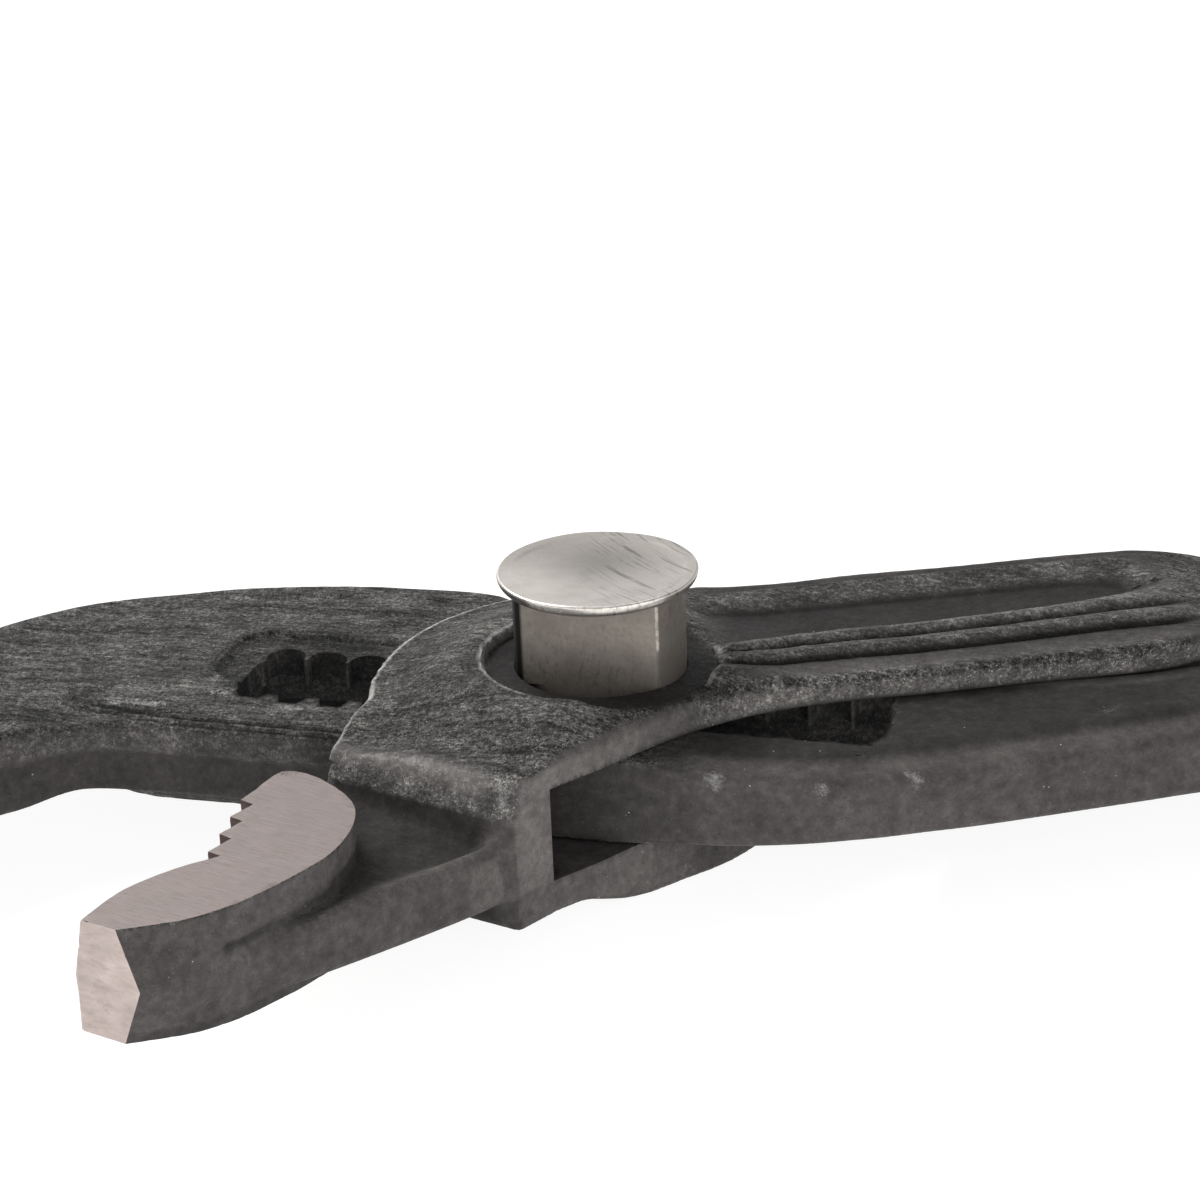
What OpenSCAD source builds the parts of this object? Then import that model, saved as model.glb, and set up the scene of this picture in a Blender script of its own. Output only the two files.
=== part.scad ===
// Water pump pliers with a push-button box joint.
// Millimetres. X runs from the jaws (-) to the handles (+), Z is up.
// The origin is on the pivot axis, in the plane the tool lies on.

/* [Mechanism] */
// Distance between two catch positions along the slot
pitch = 3.6; // [3.4:0.05:3.8]
// Direction of the slot, seen from above
slot_dir = -17; // [-20:1:-14]
// Stroke of the release button
press = 2.6; // [2.4:0.1:2.8]
// Radius of the button shank
shank_r = 6.95; // [6.5:0.05:7.2]
// Running clearance between shank and bore
run_gap = 0.07; // [0.03:0.01:0.1]
// Half the width across the flats of the shank
flat_h = 3.75; // [3.2:0.05:3.9]
// Radius of the button head
head_r = 8.1; // [7.5:0.1:9]

/* [Levers] */
// Half thickness of the slotted lever
slide_h = 3.8; // [3:0.1:4.2]
// Side clearance of the slotted lever in the box
slide_gap = 0.15; // [0.1:0.05:0.3]
// Half height of the box at its edge
box_h = 6.15; // [5.8:0.05:6.6]
// Half height of the box at the crown, and of the whole tool
crown_h = 8.8; // [8.4:0.1:9.4]
// Half thickness of the box lever's jaw
jaw_h = 4.7; // [4:0.1:5.2]
// Half thickness of the handle tangs
tang_h = 4; // [3:0.1:4.2]

/* [Grips] */
// Half width of a grip
grip_w = 8.6; // [8:0.1:10]
// Half thickness of a grip
grip_h = 8.8; // [8.4:0.1:9.4]

/* [Hidden] */
$fn = 48;
mid = crown_h;
gap_h = slide_h + slide_gap;
neck_h = flat_h + 0.3;
lobe_n = 4.3;
lobe_r = 1.65;
tooth_z = 1.15;
lock_z = 1.45;
catch_z = lock_z + press - 0.65;
bar_t = 5.3;
bar_z = slide_h + press + 0.1;
floor_z = 7.35;
head_z = 14.25;

// ---- curves through hand-placed points ----
function cr(a, b, c, d, u) = 0.5 * (2 * b + (c - a) * u
    + (2 * a - 5 * b + 4 * c - d) * u * u + (3 * b - a - 3 * c + d) * u * u * u);
function at(P, i) = i < 0 ? 2 * P[0] - P[1]
    : i >= len(P) ? 2 * P[len(P) - 1] - P[len(P) - 2] : P[i];
function curve(P, k = 3) = concat([for (i = [0 : len(P) - 2]) for (j = [0 : k - 1])
    cr(at(P, i - 1), P[i], P[i + 1], at(P, i + 2), j / k)], [P[len(P) - 1]]);

// ---- plan of the slotted lever, along and across its slot ----
sl_grip = [[-55.8, -45.4], [-52.9, -38.6], [-49.6, -34.2]];
sl_throat = [[-48.6, -19.4], [-46.6, -16.6], [-44, -14], [-41.4, -12.2], [-38, -11.1], [-32, -10.8]];
sl_near = [[12, -10.8], [19.6, -9.9], [25.5, -7.7], [32.6, -4.2], [43, 2.4], [50.3, 6.6],
           [58, 9.2], [70, 11.8], [84, 14.8], [99, 17.2], [119, 20.8], [149, 26.2], [173, 31.4]];
sl_far = [[170, 43], [145, 37.6], [115.5, 32], [95.5, 28.4], [80.5, 25.6], [66.3, 22.6],
          [54.7, 20.2], [47.3, 17.5], [41.5, 14.2], [36, 12.3], [28, 11.1]];
sl_back = [[0, 10.8], [-4, 11.8], [-8, 14], [-11, 16.9], [-14, 19.6], [-17, 20.3], [-22, 20.2],
           [-27, 19.8], [-33, 18.6], [-41, 16.2], [-47, 13.6], [-51.5, 10.4], [-56.5, 4.2],
           [-60.6, -6], [-63, -17], [-64, -28], [-63, -38], [-60.6, -46]];
sl_teeth = [for (i = [0 : 4]) for (q = [0, 1])
    [-49.4 - (q == 0 ? 0 : 1.1), -34.2 + 2.9 * i + (q == 0 ? 0 : 0.5)]];
function sl_plan() = concat(curve(sl_grip), sl_teeth, curve(sl_throat), curve(sl_near),
    curve(sl_far), curve(sl_back));

// ---- plan of the box lever ----
bx_left = [[-20.8, -9.5], [-20, -5.7], [-19.2, -2.8], [-18.7, 0.4], [-17.9, 4], [-16.6, 7.6],
           [-14.7, 10.8], [-12.2, 13.6], [-8.4, 16.2], [-3, 17.7], [3, 17.6], [8.6, 17.5],
           [15.4, 17.9], [21.4, 18.9], [30, 19.9], [38.6, 21.2], [46, 22], [54, 22.9]];
bx_near = [[54, 12], [53, 8.6], [51, 4.8], [48, 2.2], [43.2, 0.7], [34.8, -0.4], [26.4, -1.7],
           [21.8, -2.2], [18, -2.8], [14.3, -3.7], [10.6, -5.2], [6.8, -7.4], [2.3, -11],
           [-1, -14], [-4.4, -16.8], [-7.6, -20.2]];
bx_bridge = [[-20.6, -8.6], [-4.6, -13.4], [-4.4, -16.8], [-7.6, -20.2], [-8.6, -19.6],
             [-13, -15.5], [-17, -12.2], [-20.8, -9.5]];
bx_spine_near = [[32, 10.2], [40, 11.5], [52, 12], [68, 12.6], [85, 14.4], [100, 16.4],
                 [130, 20.2], [160, 23.7], [172, 24.8]];
bx_spine_far = [[172, 37], [160, 36], [130, 32.5], [100, 28.5], [75, 25.3], [60, 23.8],
                [54, 22.9], [46, 22], [38.6, 21.2], [30, 19.9], [21.4, 18.9]];
bx_pad_top = [[-25.2, -12.9], [-26.3, -14.4], [-27.2, -16.1]];
bx_pad_tip = [[-31.4, -28.4], [-34.2, -31.2], [-36.5, -33.4], [-38.8, -37.3]];
bx_pad_out = [[-35.2, -39.3], [-31, -37.8], [-27.6, -35.6], [-24.1, -32.2], [-20.9, -27.4],
              [-19.5, -23.7], [-19.3, -20.4], [-20.2, -17.6], [-22.4, -14.6], [-24, -13.3]];
bx_neck = [[-20.8, -9.5], [-22.4, -12], [-25, -14], [-28, -22], [-29.4, -28], [-33, -33],
           [-34.6, -38.6]];
bx_neck_out = [[-34.6, -38.6], [-31, -37.8], [-27.6, -35.6], [-24.5, -33.4], [-20.9, -31],
               [-15, -26.6], [-10, -22.6], [-7.6, -20.2]];
// four saw teeth: tip, then root
bx_teeth = [for (i = [0 : 3]) for (q = [0, 1])
    [-28.25, -17.9] + i * [-0.65, -2.95] + q * [1.0, -0.85]];
function bx_plan() = concat(curve(bx_left), curve(bx_near), [[-8.6, -19.6], [-13, -15.5], [-17, -12.2]]);
function bx_spine() = concat([[17.5, 18.2], [19, 13.4], [21.5, 10.3]], curve(bx_spine_near),
    curve(bx_spine_far));
function bx_pad() = concat(bx_pad_top, bx_teeth, curve(bx_pad_tip), curve(bx_pad_out));

// ---- small helpers ----
module slab(P, z0, z1) translate([0, 0, z0]) linear_extrude(z1 - z0) polygon(P);
module both(P, z0, z1) { slab(P, z0, z1); slab(P, -z1, -z0); }
module cyl(r, z0, z1, n = 64) translate([0, 0, z0]) cylinder(r = r, h = z1 - z0, $fn = n);
module seat() translate([0, 0, mid]) children();
module on_slot() rotate([0, 0, slot_dir]) children();

// closed skin through a list of rings of points
module skin(R) {
    m = len(R[0]);
    n = len(R);
    polyhedron(points = [for (r = R) for (p = r) p],
        faces = concat([[for (i = [m - 1 : -1 : 0]) i]],
            [for (a = [0 : n - 2]) for (i = [0 : m - 1])
                [a * m + i, a * m + (i + 1) % m, (a + 1) * m + (i + 1) % m]],
            [for (a = [0 : n - 2]) for (i = [0 : m - 1])
                [a * m + i, (a + 1) * m + (i + 1) % m, (a + 1) * m + i]],
            [[for (i = [0 : m - 1]) (n - 1) * m + i]]));
}

// ---- box lever ----
module box_plates() {
    both(bx_plan(), gap_h, box_h);
    for (s = [1, -1]) scale([1, 1, s])
        translate([0, 0, box_h]) cylinder(r1 = 16.6, r2 = 11.4, h = crown_h - box_h, $fn = 64);
}

module box_channel() {
    C = concat(curve([[13, 8], [22, 9.3], [32, 10.7], [41, 12]]), curve([[43.4, 13.4], [43.8, 15.4], [42.4, 17.6]]),
        curve([[38, 17.4], [30, 16.4], [22, 15.3], [12.4, 14]]));
    both(C, box_h - 0.55, box_h + 3);
    G = concat(curve([[14, 0.6], [24, 2], [34, 3.4], [43, 4.6]]), curve([[42.8, 5.8], [34, 4.5], [24, 3.1], [14, 1.8]]));
    both(G, box_h - 0.3, box_h + 3);
}

module box_lever() color([0.24, 0.24, 0.25]) seat() difference() {
    union() {
        box_plates();
        slab(bx_bridge, -box_h, box_h);
        intersection() {
            slab(bx_spine(), -box_h, box_h);
            translate([0, -60, -20]) cube([55, 120, 40]);
        }
        intersection() {
            slab(bx_spine(), -5.1, 5.1);
            translate([0, -60, -20]) cube([59.5, 120, 40]);
        }
        slab(bx_spine(), -tang_h, tang_h);
        slab(bx_pad(), -jaw_h, jaw_h);
        slab(concat(curve(bx_neck), curve(bx_neck_out), [[-7, -17], [-12, -13.5]]), -3.2, 3.2);
    }
    box_channel();
    cyl(shank_r + run_gap, 0, floor_z + 1);
    cyl(9.7, floor_z, 20);
    cyl(7.3, -5, 0);
    cyl(8.35, -20, -4.6);
    cyl(9.1, -8.35, -7.55);
}

// ---- slotted lever ----
// strip along the slot from t0 to t1, half width w, with corners of radius r
module round_bar(t0, t1, w, r) {
    translate([t0 + r, -w]) square([t1 - t0 - 2 * r, 2 * w]);
    translate([t0, r - w]) square([t1 - t0, 2 * w - 2 * r]);
    for (t = [t0 + r, t1 - r]) for (s = [-1, 1]) translate([t, s * (w - r)]) circle(r = r, $fn = 32);
}

module slot_teeth() {
    round_bar(-30.7, 23.8, neck_h, 2.2);
    for (k = [-8 : 6]) for (s = [-1, 1]) translate([k * pitch, s * lobe_n]) circle(r = lobe_r, $fn = 20);
}

module slotted_lever() color([0.22, 0.22, 0.23]) seat() on_slot() difference() {
    union() {
        slab(sl_plan(), -slide_h + 0.5, slide_h - 0.5);
        translate([0, 0, -slide_h]) linear_extrude(2 * slide_h) offset(delta = -1.6) polygon(sl_plan());
        intersection() {
            slab(sl_plan(), -4.5, 4.5);
            translate([-90, -60, -10]) cube([42.4, 42, 20]);
        }
    }
    translate([0, 0, tooth_z]) linear_extrude(10) slot_teeth();
    translate([0, 0, tooth_z - 10]) linear_extrude(10) polygon(concat(
        curve([[-31.5, -3.3], [-30.6, -5.5], [-28.4, -6.4]]), curve([[21.6, -6.4], [23.8, -5.5], [24.7, -3.3]]),
        curve([[24.7, 3.3], [23.8, 5.5], [21.6, 6.4]]), curve([[-28.4, 6.4], [-30.6, 5.5], [-31.5, 3.3]])));
}

// ---- locking bolt, button and spring ----
module locking_bolt() color([0.5, 0.48, 0.46]) seat() on_slot() difference() {
    union() {
        intersection() {
            cyl(shank_r, bar_z, head_z);
            translate([-10, -flat_h, 0]) cube([20, 2 * flat_h, 30]);
        }
        translate([0, 0, lock_z]) linear_extrude(bar_z + 0.5 - lock_z) round_bar(-bar_t, bar_t, flat_h, 2);
        translate([0, 0, lock_z]) linear_extrude(catch_z - lock_z)
            for (k = [-1 : 1]) for (s = [-1, 1]) translate([k * pitch, s * lobe_n]) circle(r = 1.3, $fn = 20);
    }
    cyl(2.0, 0, 5);
    cyl(3.05, 3.7, 30);
}

module button_head() color([0.75, 0.74, 0.72]) seat() {
    rotate_extrude($fn = 64) polygon([[0, head_z - 1.6], [3.05, head_z - 1.6], [3.05, head_z], [7, head_z],
        [7.8, 14.4], [8.05, 14.65], [head_r, 14.9], [8.0, 15.2], [7.7, 15.36], [7.3, 15.36], [6.4, 15.16],
        [5, 14.98], [3, 14.84], [0, 14.78]]);
}

module return_spring() color([0.6, 0.6, 0.62]) seat() {
    wire = 0.24;
    r = 2.4;
    z0 = 4.86;
    z1 = head_z - 1.84;
    turns = 5.5;
    steps = 110;
    skin([for (i = [0 : steps]) let (a = 360 * turns * i / steps, z = z0 + (z1 - z0) * i / steps)
        [for (q = [0 : 7]) let (b = -45 * q) [(r + wire * cos(b)) * cos(a), (r + wire * cos(b)) * sin(a), z + wire * sin(b)]]]);
}

module stop_pin() color([0.55, 0.55, 0.57]) seat() {
    cyl(2.75, 3.8, 4.6, 40);
    cyl(1.95, -7.5, 3.9, 40);
}

module pivot_plug() color([0.45, 0.45, 0.46]) seat() difference() {
    cyl(8.3, -7.5, -4.7);
    cyl(1.95, -20, 0, 40);
    for (a = [0, 180]) rotate([0, 0, a]) translate([5.2, 0, -8]) cylinder(r = 0.9, h = 2, $fn = 24);
}

module retaining_ring() color([0.35, 0.35, 0.36]) seat() translate([0, 0, -8.35]) linear_extrude(0.8) difference() {
    union() {
        difference() {
            circle(r = 9.05, $fn = 72);
            circle(r = 7.5, $fn = 72);
            polygon([[0, 0], [12, -4.6], [12, 4.6]]);
        }
        for (s = [-1, 1]) rotate(30 * s) translate([7.2, 0]) circle(r = 1.15, $fn = 24);
    }
    for (s = [-1, 1]) rotate(30 * s) translate([7.2, 0]) circle(r = 0.5, $fn = 16);
}

// ---- grips: rounded sleeves along each tang ----
rear_line = [[78, 19.8], [83, 20.4], [92, 21.5], [104, 23.1], [117, 24.8], [130, 26.5], [145, 28.3], [160, 29.9], [172, 30.9], [179, 31.4], [182, 31.6]];
front_line = [[76, -4], [81, -4.4], [91, -5.5], [103, -7], [116, -8.6], [130, -10.3], [145, -12], [160, -13.4], [172, -14.3], [179, -14.8], [182, -15]];
grip_k = [0.9, 1.06, 0.92, 0.95, 1, 1.02, 1, 0.97, 1.02, 0.9, 0.52];
grip_v = [0.78, 0.9, 0.94, 1, 1, 1, 1, 1, 1, 0.86, 0.5];

function pw(v, e) = sign(v) * pow(abs(v), e);
function grip_ring(L, i) = let (d = at(L, i + 1) - at(L, i - 1), u = d / norm(d), v = [-u[1], u[0]])
    [for (q = [0 : 23]) let (a = 15 * q, w = grip_w * grip_k[i] * pw(cos(a), 0.72), z = grip_h * grip_v[i] * pw(sin(a), 0.62))
        [L[i][0] + v[0] * w, L[i][1] + v[1] * w, z]];
module grip(L) skin([for (i = [0 : len(L) - 1]) grip_ring(L, i)]);

rear_soft = concat(curve([[89.3, 26.6], [93, 25.5], [99, 25.3], [110, 26.2], [124, 27.8], [143, 30.3], [156, 32.6], [164, 34.6], [168.7, 37]]),
    [[170.3, 52], [86.7, 44]]);
front_soft = concat(curve([[88.3, -10.2], [92, -9.2], [98, -9.2], [109, -10.5], [124, -12.4], [143, -14.7], [156, -16.6], [164, -18.3], [168.7, -20.4]]),
    [[170.3, -38], [85.7, -30]]);
module soft_zone(P) slab(P, -20.3, 20.7);

module rear_tang() slab(bx_spine(), -tang_h, tang_h);
module front_tang() on_slot() {
    slab(sl_plan(), -slide_h + 0.5, slide_h - 0.5);
    translate([0, 0, -slide_h]) linear_extrude(2 * slide_h) offset(delta = -1.6) polygon(sl_plan());
}

module rear_grip_core() color([0.12, 0.12, 0.13]) seat() difference() {
    grip(rear_line);
    rear_tang();
    soft_zone(rear_soft);
}
module rear_grip_soft() color([0.6, 0.12, 0.12]) seat() difference() {
    intersection() { grip(rear_line); soft_zone(rear_soft); }
    rear_tang();
}
module front_grip_core() color([0.12, 0.12, 0.13]) seat() difference() {
    grip(front_line);
    front_tang();
    soft_zone(front_soft);
}
module front_grip_soft() color([0.6, 0.12, 0.12]) seat() difference() {
    intersection() { grip(front_line); soft_zone(front_soft); }
    front_tang();
}

box_lever();
slotted_lever();
locking_bolt();
button_head();
return_spring();
stop_pin();
pivot_plug();
retaining_ring();
rear_grip_core();
rear_grip_soft();
front_grip_core();
front_grip_soft();
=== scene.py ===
import math
import bpy
import numpy as np
from mathutils import Matrix, Vector


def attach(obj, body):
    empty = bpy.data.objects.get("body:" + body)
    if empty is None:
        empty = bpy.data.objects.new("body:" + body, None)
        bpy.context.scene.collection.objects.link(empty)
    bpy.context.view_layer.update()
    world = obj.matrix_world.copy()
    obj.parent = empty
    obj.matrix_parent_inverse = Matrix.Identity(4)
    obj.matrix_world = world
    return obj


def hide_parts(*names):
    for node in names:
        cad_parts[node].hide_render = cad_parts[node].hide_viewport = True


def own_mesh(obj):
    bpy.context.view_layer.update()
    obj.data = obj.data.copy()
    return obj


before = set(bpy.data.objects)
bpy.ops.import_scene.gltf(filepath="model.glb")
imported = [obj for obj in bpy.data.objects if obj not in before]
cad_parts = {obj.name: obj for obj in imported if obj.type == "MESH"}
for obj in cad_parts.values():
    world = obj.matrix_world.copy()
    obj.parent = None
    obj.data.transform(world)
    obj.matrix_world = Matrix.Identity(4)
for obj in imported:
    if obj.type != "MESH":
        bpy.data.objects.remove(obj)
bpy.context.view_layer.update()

MID = 8.8          # height of the tool's mid-plane above the floor, mm
SLOT = math.radians(-17)
GAP = 3.95         # half height of the opening in the box
SLIDE = 3.8        # half thickness of the slotted lever
PITCH = 3.6


# ------------------------------------------------------------------ small maths
def sst(u):
    u = np.clip(u, 0.0, 1.0)
    return u * u * (3 - 2 * u)


def smin(a, b, k):
    return np.minimum(a, b) - np.maximum(k - np.abs(a - b), 0) ** 2 / (4 * k)


def smax(a, b, k):
    return np.maximum(a, b) + np.maximum(k - np.abs(a - b), 0) ** 2 / (4 * k)


def rmax(a, b, r):
    """Intersection with a round edge of radius r."""
    return np.minimum(np.maximum(a, b), -r) + np.hypot(np.maximum(a + r, 0), np.maximum(b + r, 0))


def curve(P, k=8):
    """Smooth open curve through given points."""
    P = np.asarray(P, float)
    A = np.vstack([2 * P[0] - P[1], P, 2 * P[-1] - P[-2]])
    u = (np.arange(k) / k)[:, None]
    out = []
    for i in range(len(P) - 1):
        a, b, c, d = A[i], A[i + 1], A[i + 2], A[i + 3]
        out.append(0.5 * (2 * b + (c - a) * u + (2 * a - 5 * b + 4 * c - d) * u * u
                          + (3 * b - a - 3 * c + d) * u ** 3))
    return np.vstack(out + [P[-1:]])


def table(P, k=12):
    """Smooth look-up through (x, value) pairs."""
    C = curve(P, k)
    return lambda q: np.interp(q, C[:, 0], C[:, 1])


class Plan:
    """Signed distance to a closed outline, on a fine grid."""

    def __init__(s, P, g=0.2, pad=5.0):
        P = np.asarray(P, float)
        s.lo = P.min(0) - pad
        s.g = g
        n = np.ceil((P.max(0) + pad - s.lo) / g).astype(int) + 2
        xs, ys = s.lo[0] + g * np.arange(n[0]), s.lo[1] + g * np.arange(n[1])
        D = np.full(n, pad, np.float32)
        C = np.zeros(n, np.int32)
        for a, b in zip(P, np.roll(P, -1, 0)):
            d = b - a
            L = d @ d
            if L < 1e-12:
                continue
            m0, m1 = np.minimum(a, b) - pad, np.maximum(a, b) + pad
            i0, j0 = np.maximum(((m0 - s.lo) / g).astype(int), 0)
            i1, j1 = np.minimum(((m1 - s.lo) / g).astype(int) + 2, n)
            X, Y = xs[i0:i1, None], ys[None, j0:j1]
            t = np.clip(((X - a[0]) * d[0] + (Y - a[1]) * d[1]) / L, 0, 1)
            e = np.hypot(X - a[0] - t * d[0], Y - a[1] - t * d[1])
            D[i0:i1, j0:j1] = np.minimum(D[i0:i1, j0:j1], e)
            rows = np.nonzero((ys >= min(a[1], b[1])) & (ys < max(a[1], b[1])))[0]
            if len(rows):
                xc = a[0] + d[0] * (ys[rows] - a[1]) / d[1]
                C[np.ceil((xc - s.lo[0]) / g).astype(int), rows] += 1
        D[np.cumsum(C, 0) % 2 == 1] *= -1
        s.D, s.n = D, n

    def __call__(s, x, y):
        u, v = (x - s.lo[0]) / s.g, (y - s.lo[1]) / s.g
        uc, vc = np.clip(u, 0, s.n[0] - 1.001), np.clip(v, 0, s.n[1] - 1.001)
        i, j = uc.astype(np.int32), vc.astype(np.int32)
        a, b = uc - i, vc - j
        d = ((s.D[i, j] * (1 - a) + s.D[i + 1, j] * a) * (1 - b)
             + (s.D[i, j + 1] * (1 - a) + s.D[i + 1, j + 1] * a) * b)
        return d + s.g * np.hypot(u - uc, v - vc)


class Line:
    """Plain distance to an open line, on a fine grid."""

    def __init__(s, P, g=0.2, pad=6.0):
        P = np.asarray(P, float)
        s.lo = P.min(0) - pad
        s.g, s.pad = g, pad
        s.n = np.ceil((P.max(0) + pad - s.lo) / g).astype(int) + 2
        xs, ys = s.lo[0] + g * np.arange(s.n[0]), s.lo[1] + g * np.arange(s.n[1])
        s.D = np.full(s.n, pad, np.float32)
        for a, b in zip(P[:-1], P[1:]):
            d = b - a
            if d @ d < 1e-12:
                continue
            t = np.clip(((xs[:, None] - a[0]) * d[0] + (ys[None] - a[1]) * d[1]) / (d @ d), 0, 1)
            s.D = np.minimum(s.D, np.hypot(xs[:, None] - a[0] - t * d[0], ys[None] - a[1] - t * d[1]))

    __call__ = Plan.__call__


RNG = np.random.default_rng(11)
LATTICE = RNG.random((32, 32, 32)).astype(np.float32) * 2 - 1


def vnoise(P, size):
    """Smooth lattice noise, -1 to 1, with cells of the given size in mm."""
    q = P / size
    i = np.floor(q).astype(int)
    f = q - i
    f = f * f * (3 - 2 * f)
    i &= 31
    j = (i + 1) & 31
    x0, y0, z0 = i.T
    x1, y1, z1 = j.T
    a, b, c = f.T
    L = LATTICE
    return (((L[x0, y0, z0] * (1 - a) + L[x1, y0, z0] * a) * (1 - b)
             + (L[x0, y1, z0] * (1 - a) + L[x1, y1, z0] * a) * b) * (1 - c)
            + ((L[x0, y0, z1] * (1 - a) + L[x1, y0, z1] * a) * (1 - b)
               + (L[x0, y1, z1] * (1 - a) + L[x1, y1, z1] * a) * b) * c)


# ------------------------------------------------------------------ meshing of a solid given by its field
def contour(f, lo, hi, h, ax=None):
    """Dual contouring: quads that keep the crisp edges of the field f(x, y, z) < 0."""
    if ax is None:
        ax = [np.arange(a, b + h, h) for a, b in zip(lo, hi)]
    X, Y, Z = ax
    F = np.empty([len(a) for a in ax], np.float32)
    for i in range(0, len(X), 24):
        F[i:i + 24] = f(X[i:i + 24, None, None], Y[None, :, None], Z[None, None, :])
    S = F < 0
    cells = [len(a) - 1 for a in ax]

    def cid(i, j, k):
        return (i * cells[1] + j) * cells[2] + k

    quads, pts, nrm, own = [], [], [], []
    for a in range(3):
        lo_s = [slice(None)] * 3
        hi_s = [slice(None)] * 3
        lo_s[a], hi_s[a] = slice(0, -1), slice(1, None)
        I = np.array(np.nonzero(S[tuple(lo_s)] != S[tuple(hi_s)]))
        J = I.copy()
        J[a] += 1
        p0 = np.stack([ax[q][I[q]] for q in range(3)], 1)
        gap = ax[a][J[a]] - ax[a][I[a]]
        f0, f1 = F[tuple(I)].astype(float), F[tuple(J)].astype(float)
        t0, t1 = np.zeros(len(f0)), np.ones(len(f0))
        inside = f0 < 0
        for _ in range(4):
            t = np.clip(t0 + (t1 - t0) * f0 / (f0 - f1 + 1e-12 * np.sign(f0 - f1 + 1e-30)), t0 + 0.02 * (t1 - t0), t1 - 0.02 * (t1 - t0))
            p = p0.copy()
            p[:, a] += t * gap
            v = f(p[:, 0], p[:, 1], p[:, 2])
            left = (v < 0) == inside
            t0, f0 = np.where(left, t, t0), np.where(left, v, f0)
            t1, f1 = np.where(left, t1, t), np.where(left, f1, v)
        e = 0.02
        g = np.stack([f(*(p + e * np.eye(3)[q]).T) - f(*(p - e * np.eye(3)[q]).T) for q in range(3)], 1)
        g /= np.linalg.norm(g, axis=1, keepdims=True) + 1e-12
        i, j, k = I
        if a == 0:
            c = [cid(i, j - 1, k - 1), cid(i, j, k - 1), cid(i, j, k), cid(i, j - 1, k)]
        elif a == 1:
            c = [cid(i - 1, j, k - 1), cid(i - 1, j, k), cid(i, j, k), cid(i, j, k - 1)]
        else:
            c = [cid(i - 1, j - 1, k), cid(i, j - 1, k), cid(i, j, k), cid(i - 1, j, k)]
        c = np.stack(c, 1)
        quads.append(np.where(inside[:, None], c, c[:, ::-1]))
        for q in range(4):
            pts.append(p)
            nrm.append(g)
            own.append(c[:, q])
    quads, own = np.vstack(quads), np.concatenate(own)
    pts, nrm = np.vstack(pts), np.vstack(nrm)
    ids, inv = np.unique(own, return_inverse=True)
    n = len(ids)
    cnt = np.bincount(inv, minlength=n)
    m = np.stack([np.bincount(inv, pts[:, q], n) for q in range(3)], 1) / cnt[:, None]
    rel = pts - m[inv]
    dist = (nrm * rel).sum(1)
    A = np.empty((n, 3, 3))
    b = np.empty((n, 3))
    for q in range(3):
        b[:, q] = np.bincount(inv, nrm[:, q] * dist, n) / cnt
        for r in range(q, 3):
            A[:, q, r] = A[:, r, q] = np.bincount(inv, nrm[:, q] * nrm[:, r], n) / cnt
    w, E = np.linalg.eigh(A)
    iw = np.where(w > 0.04 * w[:, 2:3], 1 / np.maximum(w, 1e-9), 0)
    x = np.einsum("nij,nj->ni", E, iw * np.einsum("nji,nj->ni", E, b))
    V = m + x
    k = ids % cells[2]
    j = ids // cells[2] % cells[1]
    i = ids // (cells[1] * cells[2])
    base = np.stack([X[i], Y[j], Z[k]], 1)
    size = np.stack([X[i + 1], Y[j + 1], Z[k + 1]], 1) - base
    V = np.clip(V, base - 0.02 * size, base + 1.02 * size)
    N = np.stack([np.bincount(inv, nrm[:, q], n) for q in range(3)], 1)
    N /= np.linalg.norm(N, axis=1, keepdims=True) + 1e-12
    Q = np.searchsorted(ids, quads)
    return V, Q, N


def face_frames(V, Q):
    c = V[Q].mean(1)
    n = np.cross(V[Q[:, 2]] - V[Q[:, 0]], V[Q[:, 3]] - V[Q[:, 1]])
    n /= np.linalg.norm(n, axis=1, keepdims=True) + 1e-12
    return c, n


def shape_masks(f, V, N, d=0.7):
    """How convex (worn) and how hollow (grime and painted shade) each point is."""
    a, b = V - d * N, V + d * N
    wear_and_highlight = np.clip((f(*a.T) + d) / d, 0, 1)
    shade_and_grime = np.clip((d - f(*b.T)) / d, 0, 1)
    return wear_and_highlight, shade_and_grime


def piece(name, V, Q, body, nodes, mats, faces=None, masks=None, sharp=35):
    """A mesh in millimetres about the mid-plane, placed in the row frame and fixed to its body."""
    me = bpy.data.meshes.new(name)
    P = np.asarray(V, float).copy()
    P[:, 2] += MID
    me.from_pydata((P * 1e-3).tolist(), [], Q.tolist() if hasattr(Q, "tolist") else Q)
    for k, v in (masks or {}).items():
        at = me.attributes.new(k, "FLOAT", "POINT")
        at.data.foreach_set("value", np.asarray(v, np.float32))
    for m in mats:
        me.materials.append(m)
    if faces is not None:
        me.polygons.foreach_set("material_index", np.asarray(faces, np.int32))
    me.update()
    me.shade_smooth()
    me.set_sharp_from_angle(angle=math.radians(sharp))
    o = bpy.data.objects.new(name, me)
    bpy.context.scene.collection.objects.link(o)
    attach(o, body)
    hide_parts(*nodes)
    return o


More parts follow.
